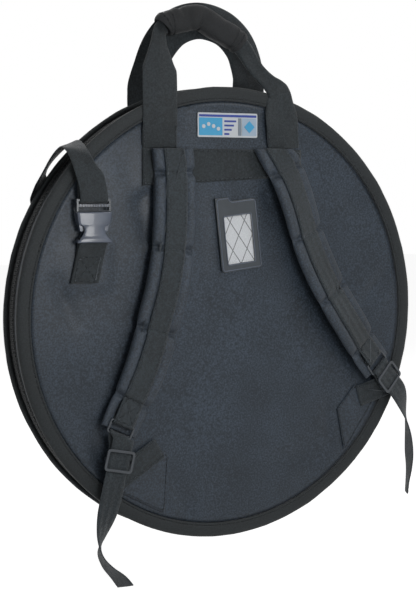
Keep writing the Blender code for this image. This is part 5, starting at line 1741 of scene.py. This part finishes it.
    def build_grip(self) -> None:
        """Build the padded grip that is wrapped round the near handle."""
        low, high = self.grip_span
        free, width = self.free_part(self.back_table, -1, self.back_y)
        whole = Course.through(free, width * BAG.handle_web)
        course = whole.between(low + self.grip_inset, high - self.grip_inset, self.grip_step)
        share = np.linspace(0, 1, len(course.places))
        turns = np.linspace(0, math.tau, 41)
        radial = self.grip_radii(share, turns)
        cross, outwards = (
            np.sign(wave) * np.abs(wave) ** self.grip_squareness * size / 2
            for wave, size in ((np.cos(turns), self.grip_high), (np.sin(turns), self.grip_thick)))
        middle, normals, _ = course.spread(cross * radial)
        middle = middle + normals * (outwards * radial)[..., None]
        work = bmesh.new()
        layer = work.loops.layers.uv.new(UV_NAME)
        bmesh.ops.create_grid(work, x_segments=len(share) - 1, y_segments=len(turns) - 1, size=1)
        for face in work.faces:
            for loop in face.loops:
                x, y, _ = loop.vert.co
                loop[layer].uv = ((y + 1) * self.grip_wrap, (x + 1) / 2 * course.lengths[-1])
        for vertex, spot in zip(ordered(work.verts), middle.reshape(-1, 3)):
            vertex.co = spot
        bmesh.ops.remove_doubles(work, verts=work.verts, dist=BAG.merge)
        self.close_grip(work, course)
        grip = finish_piece("grip_cushion", work, GRIP_CLOTH, "back_handle",
                            ["carry_grip"], levels=1)
        lines = []
        for at in (self.cuff, 1 - self.cuff):
            row = int(round(at * (len(share) - 1)))
            for ring, centre in ((middle[k], course.places[k]) for k in (row - 2, row + 2)):
                out = unit(ring - centre)
                lines.append((ring + out * BAG.gap, out))
        SEAM.sew("grip_stitches", lines, "back_handle")

    def build(self) -> None:
        """Build both handles."""
        self.build_back()
        self.build_front()
        self.build_grip()


# Sewn fittings


@dataclass
class Yoke:
    """The wide webbing band sewn level across the back, with its stitched border."""

    left: float = -0.126
    right: float = 0.115
    slope: float = 0.012
    ripple: float = 0.00045
    inset: float = 0.0026
    # How far its end stitches swing in and out
    swing: tuple[float, float] = (0.0009, -0.0006)

    def build(self) -> None:
        """Build the band and its stitches."""
        x = np.linspace(self.left, self.right, 60)
        v = np.linspace(0, 1, 15)
        wide = self.right - self.left
        low = BAG.yoke_low + self.slope * (x - self.left) / wide
        height = low[:, None] + (BAG.yoke_high - low)[:, None] * v
        middle = np.stack(np.broadcast_arrays(x[:, None], -BAG.face_y - BAG.on_panel, height),
                          axis=-1)
        wave = waves(middle[..., 0], middle[..., 2], (26, 18), 1.9) * self.ripple
        wave *= np.sin(math.pi * np.clip(v, 0.05, 0.95)) ** 0.5
        wave = np.maximum(wave, -BAG.gap / 3)
        edge = np.maximum(np.abs(v * 2 - 1),
                          np.abs(x[:, None] - (self.left + self.right) / 2) / wide * 2)
        body = np.where(edge > 0.99, 0.4, 1.0) * BAG.web / 2
        normals = np.broadcast_to((0.0, -1.0, 0.0), middle.shape)
        work = cloth_body(middle, normals, wave - body, wave + body, middle[..., (2, 0)], edge)
        finish_piece("yoke_band", work, WIDE_WEBBING, "back_shell",
                     ["yoke_patch"])
        left, right = self.left + self.inset, self.right - self.inset
        bottom, top = BAG.yoke_low + self.inset, BAG.yoke_high - self.inset
        proud = BAG.web + BAG.gap * 4 / 3
        zigzag = [(left + self.swing[(k + 1) % 2], bottom + (top - bottom) * k / 34)
                  for k in range(35)]
        border = [(left, top), (right, top), (right, bottom + self.slope), (left, bottom)]
        SHEEN_PAINTED_SEAM.sew("yoke_stitches", [flat_line(border, proud), flat_line(zigzag, proud, 0.001)],
                      "back_shell")


@dataclass
class Closure:
    """The closure strap over the rim, its side release buckle and its sewn ends."""

    shares: tuple[float, float] = (-0.660, 0.4567)
    bar: float = 0.0032
    proud: float = 0.0060
    male_long: float = 0.0165
    female_long: float = 0.0370
    half: float = 0.0240
    anchor_rise: float = 0.0039
    stitch_inset: float = 0.003
    box_inset: float = 0.004
    steps: int = 12
    # x, y in shares of the face, height, and the direction of the webbing's width
    table: tuple = (
        (-0.6580, -1.400, 0.5121, 1.00, 0.00, 0.00), (-0.6668, -1.435, 0.5632, 1.00, 0.03, 0.03),
        (-0.6850, -1.500, 0.6182, 1.00, 0.01, -0.01), (-0.7152, -1.587, 0.6667, 0.97, 0.11, -0.20),
        (-0.7528, -1.831, 0.7121, 0.96, 0.27, -0.06), (-0.7438, -0.703, 0.7419, 0.85, 0.48, 0.23),
        (-0.7495, 0.370, 0.7203, 0.69, 0.71, 0.15), (-0.7711, 0.935, 0.6795, 0.55, 0.83, 0.08),
        (-0.7958, 1.139, 0.6341, 0.53, 0.83, 0.16), (-0.8171, 1.230, 0.5900, 0.62, 0.62, 0.38))
    # x, height, rise off the cover's binding, and the direction of the webbing's width
    ends: tuple = (
        (-0.8227, 0.5467, 1.00, 0.73, 0.30, 0.58), (-0.8133, 0.5250, 0.75, 0.76, 0.12, 0.64),
        (-0.7977, 0.5000, 0.05, 0.75, 0.00, 0.66), (-0.7833, 0.4837, 0.00, 0.75, 0.00, 0.66))
    tab: tuple = ((-0.670, 0.270), (-0.697, 0.157))

    @property
    def x(self) -> float:
        """Where the buckle's middle line lies."""
        return self.shares[0] * BAG.rim_r

    @property
    def meet(self) -> float:
        """Height where the buckle's halves meet."""
        return self.shares[1] * BAG.rim_r

    def turn(self, height: float, up: int) -> list[Vector]:
        """Return places round one of the buckle's bars, at a height, round its far side."""
        radius = self.bar / math.sqrt(2) + BAG.gap + BAG.web / 2
        bar = Vector((self.x, -BAG.face_y - self.proud, height))
        return round_bar(bar, Vector((0, 0, up)), Vector((0, -1, 0)), radius)

    def build_strap(self) -> None:
        """Build the strap from the buckle over the rim, and its end on the cover."""
        bend = self.turn(self.meet + self.male_long - self.bar / 2, -1)[::-1]
        back = bend[0] + Vector((0, 0, BAG.closure_web * 0.65))
        back.y = -BAG.face_y - BAG.on_panel
        rows = smooth_rows(self.table, self.steps)
        over = [Vector((row[0] * BAG.rim_r, row[1] * BAG.face_y, row[2] * BAG.rim_r))
                for row in rows]
        face = BAG.face_y + BAG.on_binding + BAG.gap
        last = smooth_rows(self.ends, self.steps)
        sewn = [Vector((row[0] * BAG.rim_r, face + max(row[2], 0) * self.anchor_rise,
                        row[1] * BAG.rim_r)) for row in last]
        meeting = sewn[0] + (over[-1] - sewn[0]).normalized() * BAG.web / 2
        sides = [Vector((1, 0, 0))] * (1 + len(bend)) + [Vector(row[3:]) for row in rows]
        course = Course.through([back] + bend + over + [meeting], BAG.closure_web,
                                sides=sides + [Vector(last[0][3:])]).spaced(0.0026)
        finish_piece("closure_band", ribbon(course, bow=0.0003, seed=5.1), WIDE_WEBBING,
                     "back_shell", ["closure_strap"])
        course = Course.through(sewn, BAG.closure_web,
                                sides=[Vector(row[3:]) for row in last]).spaced(0.0015)
        finish_piece("closure_cover_end", ribbon(course, seed=8.8), WIDE_WEBBING,
                     "front_cover", ["closure_anchor"])
        lines = edge_lines(course.between(0.45, 0.95, 0.001), self.stitch_inset,
                           -BAG.web / 2 - BAG.gap)
        SHEEN_PAINTED_SEAM.sew("closure_end_stitches", lines, "front_cover")

    def build_tab(self) -> None:
        """Build the box stitched tab that holds the buckle's lower half."""
        bend = self.turn(self.meet - self.female_long + self.bar / 2, 1)
        near, far = (Vector((x * BAG.rim_r, -BAG.face_y - BAG.on_panel, height * BAG.rim_r))
                     for x, height in self.tab)
        over = Vector((0, -1, 0)) * (BAG.web + BAG.gap)
        places = [far + over, near + over] + bend + [near, far]
        course = Course.through(places, BAG.closure_web, sides=[Vector((1, 0, 0))] * len(places))
        finish_piece("buckle_tab_band", ribbon(course.spaced(0.0020), bow=0.0, ripple=0.0001),
                     WIDE_WEBBING, "back_shell", ["buckle_tab"])
        half = BAG.closure_web / 2 - self.box_inset
        top, low = (near + over + (far - near) * share for share in (0.03, 0.92))
        proud = -top.y - BAG.face_y + BAG.web / 2 + BAG.gap
        corners = [(top.x - half, top.z), (top.x + half, top.z), (low.x + half, low.z),
                   (low.x - half, low.z)]
        loop = [corners[k] for k in (0, 1, 2, 3, 0, 2)]
        lines = [flat_line(loop, proud), flat_line([corners[1], corners[3]], proud)]
        SHEEN_PAINTED_SEAM.sew("buckle_tab_stitches", lines, "back_shell")

    def build(self) -> None:
        """Build the closure strap and its tab."""
        self.build_strap()
        self.build_tab()


# Hard fittings


@dataclass
class HardParts:
    """Solids that keep their own shape and get a moulded or coated finish and softer edges."""

    round_off: float = 0.00045
    glide_round: float = 0.0008
    frame_round: float = 0.0009
    fits: tuple = (
        ("buckle_prong_left", BUCKLE_PLASTIC), ("buckle_prong_right", BUCKLE_PLASTIC),
        ("ring_left", RING_PLASTIC), ("ring_right", RING_PLASTIC),
        ("tri_glide_left", RING_PLASTIC), ("tri_glide_right", RING_PLASTIC),
        ("zip_slider_left", ZIP_METAL), ("zip_slider_right", ZIP_METAL),
        ("zip_pull_left", ZIP_METAL), ("zip_pull_right", ZIP_METAL),
        ("id_holder_frame", HOLDER_PLASTIC), ("id_holder_window", FILM), ("id_card", CARD),
        ("badge", LABEL_WHITE),
    )

    def build(self) -> None:
        """Dress each solid."""
        rounds = {"tri_glide_left": self.glide_round, "tri_glide_right": self.glide_round,
                  "id_holder_frame": self.frame_round}
        for name, kind in self.fits:
            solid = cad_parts[name]
            solid.data.materials.clear()
            solid.data.materials.append(finish_of(kind))
            if kind not in (FILM, CARD):
                weld = solid.modifiers.new("weld", "WELD")
                weld.merge_threshold = BAG.merge
                soften(solid, rounds.get(name, self.round_off), 3)
            LOG.info("%s: dressed", name)


def thicken(work: bmesh.types.BMesh, near: float, far: float) -> bmesh.types.BMesh:
    """Extrude a flat sheet from one distance off the panel to another, and return it."""
    made = bmesh.ops.extrude_face_region(work, geom=work.faces[:], use_keep_orig=True)
    outer = [v for v in made["geom"] if isinstance(v, bmesh.types.BMVert)]
    bmesh.ops.translate(work, vec=(0, near - far, 0), verts=outer)
    return work


def tile(cells_x: Sequence[float], cells_z: Sequence[float], holes: Sequence[tuple[int, int]],
         near: float, far: float) -> bmesh.types.BMesh:
    """Make a plate from a grid of cells, some of which are left open.

    Args:
        cells_x: The grid's lines across, from left to right.
        cells_z: The grid's lines upwards.
        holes: Cells (column, row) that are left open.
        near: Distance of its inner side from the panel.
        far: Distance of its outer side from the panel.

    Returns:
        The plate's bmesh.
    """
    work = bmesh.new()
    rows = [[work.verts.new((x, -BAG.face_y - near, z)) for z in cells_z] for x in cells_x]
    for i in range(len(cells_x) - 1):
        for j in range(len(cells_z) - 1):
            if (i, j) not in holes:
                work.faces.new((rows[i][j], rows[i + 1][j], rows[i + 1][j + 1], rows[i][j + 1]))
    bmesh.ops.delete(work, geom=[v for v in work.verts if not v.link_faces], context="VERTS")
    return thicken(work, near, far)


def band_round(outer: Sequence[tuple[float, float]], inset: float, near: float,
               far: float) -> bmesh.types.BMesh:
    """Make a narrow raised band that follows a closed outline.

    Args:
        outer: The outline's (x, height) points.
        inset: The band's width, inwards from the outline.
        near: Distance of its inner side from the panel.
        far: Distance of its outer side from the panel.

    Returns:
        The band's bmesh.
    """
    points = np.array(outer)
    along = unit(np.roll(points, -1, axis=0) - np.roll(points, 1, axis=0))
    inwards = np.stack([-along[:, 1], along[:, 0]], axis=1)
    spread = ((points - points.mean(axis=0)) ** 2).sum()
    if ((points + inwards * inset - points.mean(axis=0)) ** 2).sum() > spread:
        inwards = -inwards
    work = bmesh.new()
    loops = [[work.verts.new((x, -BAG.face_y - near, z)) for x, z in ring]
             for ring in (points, points + inwards * inset)]
    for k in range(len(points)):
        after = (k + 1) % len(points)
        work.faces.new((loops[0][k], loops[0][after], loops[1][after], loops[1][k]))
    return thicken(work, near, far)


@dataclass
class MaleHalf:
    """The buckle's upper half: two rails, the webbing's bar and a ribbed thumb bar."""

    closure: Closure
    thick: float = 0.0054
    rail: float = 0.0034
    thumb: tuple[float, float] = (0.0058, 0.0101)
    foot: float = 0.0016
    ribs: int = 11
    rib: tuple[float, float, float] = (0.0017, 0.0034, 0.0006)
    rib_inset: float = 0.002
    rounds: tuple[float, float] = (0.0006, 0.0002)

    def build(self) -> None:
        """Build the frame and its ribs."""
        half, x, meet = self.closure.half, self.closure.x, self.closure.meet
        long = self.closure.male_long
        near, far = (self.closure.proud + side * self.thick / 2 for side in (-1, 1))
        xs = [x - half, x - half + self.rail, x + half - self.rail, x + half]
        zs = [meet + z for z in (BAG.gap, self.foot, *self.thumb, long - self.closure.bar, long)]
        finish_piece("buckle_male_frame", tile(xs, zs, ((1, 1), (1, 3)), near, far), RING_PLASTIC,
                     "back_shell", ["buckle_male"], smooth=False,
                     rounded=self.rounds[0])
        wide, high, proud = self.rib
        work = bmesh.new()
        bmesh.ops.create_cube(work, size=1)
        bmesh.ops.scale(work, vec=(wide, proud, high), verts=work.verts)
        turns = [Matrix.Translation((place, -BAG.face_y - far - proud / 2,
                                     meet + sum(self.thumb) / 2))
                 for place in np.linspace(xs[1] + self.rib_inset, xs[2] - self.rib_inset, self.ribs)]
        finish_piece("buckle_male_ribs", repeat(work, turns), BUCKLE_PLASTIC,
                     "back_shell", smooth=False, rounded=self.rounds[1])


@dataclass
class FemaleHalf:
    """The buckle's lower half: crowned front and back shells, side walls and a webbing bar."""

    closure: Closure
    cavity: float = 0.0034
    shell: float = 0.0021
    crown: float = 0.0010
    columns: tuple = ((0,), (0.34,), (0.62,), (0.84,), (0.94,), (0.985,), (1,))
    # Distances of a side wall's outer and inner face from the edge, and the walls' heights
    wall: tuple[float, float] = (0.0012, 0.0026)
    sleeve: tuple[float, float] = (-0.0125, -0.0012)
    rail: tuple[float, float] = (-0.0380, -0.0345)
    # Height under the top edge in mm, and half the width there in mm
    outline: tuple = (
        (0.0, 23.4), (-0.7, 24.0), (-4.0, 23.7), (-9.0, 22.9), (-13.0, 22.2), (-15.4, 21.4),
        (-16.4, 20.2), (-17.2, 17.4), (-18.4, 15.4), (-20.4, 14.4), (-23.0, 14.2), (-25.6, 14.7),
        (-28.4, 16.0), (-31.4, 18.2), (-34.4, 20.9), (-37.0, 23.4), (-38.4, 24.2), (-38.8, 24.2))
    lip: float = 0.0016

    def shell_body(self, side: int) -> bmesh.types.BMesh:
        """Build the crowned shell of one side, outwards for -1 and at the panel for 1."""
        rows = smooth_rows(self.outline, 3) / 1000
        across = mirrored(self.columns)[:, 0]
        x = self.closure.x + rows[:, 1:] * across
        y = np.full_like(x, -BAG.face_y - self.closure.proud)
        z = np.broadcast_to(self.closure.meet + rows[:, :1], x.shape)
        middle = np.stack([x, y, z], axis=-1)
        round_off = np.interp(np.abs(across), (0.84, 0.94, 0.985, 1), (0, 0.10, 0.34, 0.62))
        ends = np.interp(rows[:, 0], (-0.0388, -0.0384, -0.0376, -0.0010, -0.0004, 0.0),
                         (0.55, 0.25, 0, 0, 0.20, 0.45))
        off = np.maximum(round_off[None, :], ends[:, None])
        inner = np.interp(rows[:, 0], (-0.0340, -0.0310), (self.cavity + self.lip, self.cavity))
        low = np.broadcast_to(inner[:, None], x.shape)
        front = (self.crown * (1 - across ** 2) if side < 0 else 0 * across) + self.shell
        high = self.cavity + front[None, :] * (1 - off) + (self.lip * 0.55 if side < 0 else 0) \
            * np.interp(rows[:, 0], (-0.0340, -0.0300), (1, 0))[:, None]
        high = np.maximum(high, low + 0.0003)
        normals = np.broadcast_to((0.0, float(side), 0.0), middle.shape)
        uv = middle[..., (0, 2)]
        return cloth_body(middle, normals, low, high, uv)

    def build(self) -> None:
        """Build the shells, the walls between them and the bar."""
        for side, name, stands_for in ((-1, "front", ["buckle_female"]), (1, "back", [])):
            finish_piece(f"buckle_female_{name}", self.shell_body(side), BUCKLE_PLASTIC,
                         "back_shell", stands_for)
        x, meet, proud = self.closure.x, self.closure.meet, self.closure.proud
        for side, name in ((-1, "left"), (1, "right")):
            reach = sorted(x + side * (self.closure.half - inset) for inset in self.wall)
            for label, stretch in (("sleeve", self.sleeve), ("rail", self.rail)):
                work = tile(reach, [meet + height for height in stretch], (), proud - self.cavity,
                            proud + self.cavity)
                finish_piece(f"buckle_{name}_{label}", work, BUCKLE_PLASTIC,
                             "back_shell", smooth=False, rounded=BAG.gap)


@dataclass
class HolderTrim:
    """The card holder's raised outer and window rims, drawn in the lighter buckle plastic as a painted
    highlight on the dark holder's raised edges.
    """

    size: tuple[float, float] = (0.062, 0.093)
    window: tuple[float, float] = (0.041, 0.063)
    drop: float = 0.0050
    ear: tuple[float, float] = (0.018, 0.006)
    near: float = 0.0050
    proud: float = 0.0007
    wide: float = 0.0013
    inset: float = 0.0011
    beyond: float = 0.0017
    outer_corner: float = 0.0040
    window_corner: float = 0.0030

    def corners(self, wide: float, high: float, low: float, corner: float,
                ear: bool = False) -> list[tuple[float, float]]:
        """Return a rounded, tilted outline.

        Args:
            wide: Its width.
            high: Its height.
            low: How far its middle stands over the holder's.
            corner: The radius of its corners.
            ear: Whether the ear stands at its upper left.

        Returns:
            Its (x, height) points.
        """
        found = []
        for quarter, (right, up) in enumerate(((1, 1), (-1, 1), (-1, -1), (1, -1))):
            if ear and quarter == 1:
                left, top = -wide / 2, high / 2
                reach, rise = self.ear
                found += [(left + reach + rise, top), (left + reach + rise * 0.4, top + rise * 0.35),
                          (left + reach, top + rise), (left + corner, top + rise),
                          (left + corner * 0.3, top + rise - corner * 0.3),
                          (left, top + rise - corner)]
                continue
            for step in range(5):
                angle = (quarter + step / 4) * math.pi / 2
                found.append((right * (wide / 2 - corner) + corner * math.cos(angle),
                              low + up * (high / 2 - corner) + corner * math.sin(angle)))
        cosine, sine = math.cos(BAG.holder_tilt), math.sin(BAG.holder_tilt)
        return [(BAG.holder[0] + x * cosine - z * sine, BAG.holder[1] + z * cosine + x * sine)
                for x, z in found]

    def build(self) -> None:
        """Build both rims."""
        wide, high = (size - 2 * self.inset for size in self.size)
        outer = self.corners(wide, high, 0, self.outer_corner, True)
        wide, high = (size + 2 * self.beyond for size in self.window)
        pane = self.corners(wide, high, -self.drop, self.window_corner)
        for name, outline in (("outer", outer), ("window", pane)):
            work = band_round(outline, self.wide, self.near, self.near + self.proud)
            # The lighter buckle plastic on these rims is a painted highlight on the holder's raised
            # edges.
            finish_piece(f"holder_{name}_rim", work, BUCKLE_PLASTIC, "back_shell",
                         smooth=False, rounded=BAG.gap)


@dataclass
class Label:
    """The raised label's coloured fields and plain motifs, on its white base."""

    middle: float = 0.2495
    near: float = 0.0020
    thick: float = 0.0005
    round_off: float = 0.00012
    # Left, right, lowest and highest edge of each field, in mm from the label's middle
    fields: tuple = (
        ("badge_top_strip", LABEL_NAVY, (-43.5, 43.5, 10.6, 13.6)),
        ("badge_left_field", LABEL_BLUE, (-43.5, -8.5, -13.6, 9.4)),
        ("badge_column", LABEL_GREY, (15.5, 20.5, -13.6, 9.4)),
        ("badge_right_field", LABEL_SILVER, (21.5, 43.5, -13.6, 9.4)),
    )
    # First dot's x, their spacing, height, swing and radius, in mm
    dots: tuple = (-37, 7.4, -2, 3, 2.6)
    # Left end, first bar's right end, step of that end, lowest edge, step down and thickness
    bars: tuple = (-5.5, 12.5, 3.5, 4.0, 5.6, 2.4)
    # Middle and half the size of the diamond, in mm
    diamond: tuple = (32.5, -2, 8.0)

    def lay(self, name: str, kind: Moulded, outlines: Sequence[Sequence[tuple[float, float]]],
            level: int = 0) -> None:
        """Lay fields of one colour on the label.

        Args:
            name: The piece's name.
            kind: Its finish.
            outlines: Each field's points, in mm from the label's middle.
            level: How many other fields lie under it.
        """
        near = self.near + level * (self.thick + BAG.gap / 3)
        work = bmesh.new()
        for outline in outlines:
            work.faces.new([work.verts.new((x / 1000, -BAG.face_y - near, self.middle + z / 1000))
                            for x, z in outline])
        finish_piece(name, thicken(work, near, near + self.thick), kind,
                     "back_shell", smooth=False, rounded=self.round_off)

    @staticmethod
    def box(left: float, right: float, low: float, high: float) -> list[tuple[float, float]]:
        """Return a rectangle's points."""
        return [(left, low), (right, low), (right, high), (left, high)]

    @staticmethod
    def disc(x: float, z: float, radius: float, steps: int = 24) -> list[tuple[float, float]]:
        """Return a circle's points."""
        turns = [math.tau * k / steps for k in range(steps)]
        return [(x + radius * math.cos(t), z + radius * math.sin(t)) for t in turns]

    def build(self) -> None:
        """Build the label's fields."""
        for name, kind, edges in self.fields:
            self.lay(name, kind, [self.box(*edges)])
        x, apart, z, swing, radius = self.dots
        self.lay("badge_dots", LABEL_WHITE, [
            self.disc(x + apart * k, z + swing * math.sin(k * 1.5), radius) for k in range(4)], 1)
        left, right, shorter, low, down, high = self.bars
        self.lay("badge_bars", LABEL_NAVY, [
            self.box(left, right - shorter * k, low - down * k, low - down * k + high)
            for k in range(4)])
        x, z, half = self.diamond
        self.lay("badge_diamond", LABEL_BLUE,
                 [[(x - half, z), (x, z - half), (x + half, z), (x, z + half)]], 1)


# Studio


@dataclass
class Studio:
    """Camera at the photograph's angle, soft lamps, pale floor and white surroundings."""

    azimuth: float = -29.3
    elevation: float = 4.3
    distance: float = 2.0
    lens: float = 89.87
    aim: tuple[float, float, float] = (-0.0115, 0.0082, -0.3582)
    floor_z: float = -0.760
    # Name, azimuth, elevation, distance, size and watts
    lamps: tuple = (
        ("key", 42.0, 42.0, 2.3, 0.60, 8.0),
        ("front", -3.0, 12.0, 0.66, 0.26, 1.55),
        ("fill", -75.0, 22.0, 2.4, 1.6, 1.0),
        ("top", -10.0, 82.0, 2.0, 1.0, 2.4),
        ("behind", 160.0, 35.0, 2.4, 1.6, 8.0),
    )
    ambient: float = 0.085
    floor_glow: float = 0.88
    floor_size: float = 8.0
    sensor: float = 36.0

    def hang(self, name: str, data: bpy.types.ID, azimuth: float, elevation: float,
             distance: float) -> bpy.types.Object:
        """Place a camera or a lamp so that it looks at the aim.

        Args:
            name: Its name.
            data: The camera or the lamp.
            azimuth: Its direction from the object, in degrees.
            elevation: Its direction upwards, in degrees.
            distance: How far from the aim it is.

        Returns:
            Its object.
        """
        side, up = math.radians(azimuth), math.radians(elevation)
        back = Vector((math.sin(side) * math.cos(up), -math.cos(side) * math.cos(up),
                       math.sin(up)))
        made = bpy.data.objects.new(name, data)
        bpy.context.scene.collection.objects.link(made)
        made.location = Vector(self.aim) + back * distance
        made.rotation_mode = "QUATERNION"
        made.rotation_quaternion = (-back).to_track_quat("-Z", "Y")
        return made

    def build_camera(self) -> None:
        """Set the camera where the photograph was taken from."""
        data = bpy.data.cameras.new("camera")
        data.lens = self.lens
        data.sensor_width = self.sensor
        bpy.context.scene.camera = self.hang("camera", data, self.azimuth, self.elevation,
                                             self.distance)

    def build_lamps(self) -> None:
        """Hang the soft lamps."""
        for name, azimuth, elevation, distance, size, watts in self.lamps:
            data = bpy.data.lights.new(name, "AREA")
            data.shape = "DISK"
            data.size = size
            data.energy = watts
            self.hang(name, data, azimuth, elevation, distance)

    def seen(self, tree: bpy.types.NodeTree) -> bpy.types.Node:
        """Return 1 where a ray comes from the camera, a gloss or a clear film."""
        rays = add_node(tree, "LightPath").outputs
        both = add_node(tree, "Math", {"operation": "MAXIMUM"},
                        {0: rays["Is Camera Ray"], 1: rays["Is Glossy Ray"]})
        return add_node(tree, "Math", {"operation": "MAXIMUM"},
                        {0: both, 1: rays["Is Transmission Ray"]})

    def build_world(self) -> None:
        """Make the surroundings white to the eye and plain grey as a light."""
        world = bpy.data.worlds.new("surroundings")
        bpy.context.scene.world = world
        world.use_nodes = True
        tree = world.node_tree
        tree.nodes.clear()
        lit, shown = (add_node(tree, "Background", inputs={"Strength": strength,
                                                           "Color": (1, 1, 1, 1)})
                      for strength in (self.ambient, 1.0))
        mixed = add_node(tree, "MixShader", inputs={0: self.seen(tree), 1: lit, 2: shown})
        add_node(tree, "OutputWorld", inputs={0: mixed})

    def build_floor(self) -> None:
        """Lay the pale floor, which keeps the object's shadow."""
        work = bmesh.new()
        bmesh.ops.create_grid(work, x_segments=1, y_segments=1, size=self.floor_size)
        bmesh.ops.translate(work, vec=(0, 0, self.floor_z), verts=work.verts)
        mesh = bpy.data.meshes.new("floor")
        work.to_mesh(mesh)
        work.free()
        floor = bpy.data.objects.new("floor", mesh)
        bpy.context.scene.collection.objects.link(floor)
        paint = bpy.data.materials.new("pale_floor_paint")
        paint.use_nodes = True
        tree = paint.node_tree
        tree.nodes.clear()
        matt = add_node(tree, "BsdfDiffuse", inputs={"Color": linear("#e8e8e8")})
        glow = add_node(tree, "Emission", inputs={"Strength": self.floor_glow})
        both = add_node(tree, "AddShader", inputs={0: matt, 1: glow})
        mixed = add_node(tree, "MixShader", inputs={0: self.seen(tree), 1: matt, 2: both})
        add_node(tree, "OutputMaterial", inputs={0: mixed})
        mesh.materials.append(paint)

    def build(self) -> None:
        """Build the whole studio."""
        self.build_camera()
        self.build_lamps()
        self.build_world()
        self.build_floor()
        bpy.context.scene.view_settings.view_transform = "Standard"


def main() -> None:
    """Build every sub-assembly in order."""
    logging.basicConfig(level=logging.INFO, format="%(name)s: %(message)s")
    Studio().build()
    for part in (RoundBody(), Yoke(), ShoulderStrap(LEFT_STRAP), ShoulderStrap(RIGHT_STRAP),
                 Handles(), Closure(), MaleHalf(Closure()), FemaleHalf(Closure()),
                 HolderTrim(), Label(), HardParts()):
        part.build()
        LOG.info("%s is built", type(part).__name__)


if __name__ == "__main__":
    main()
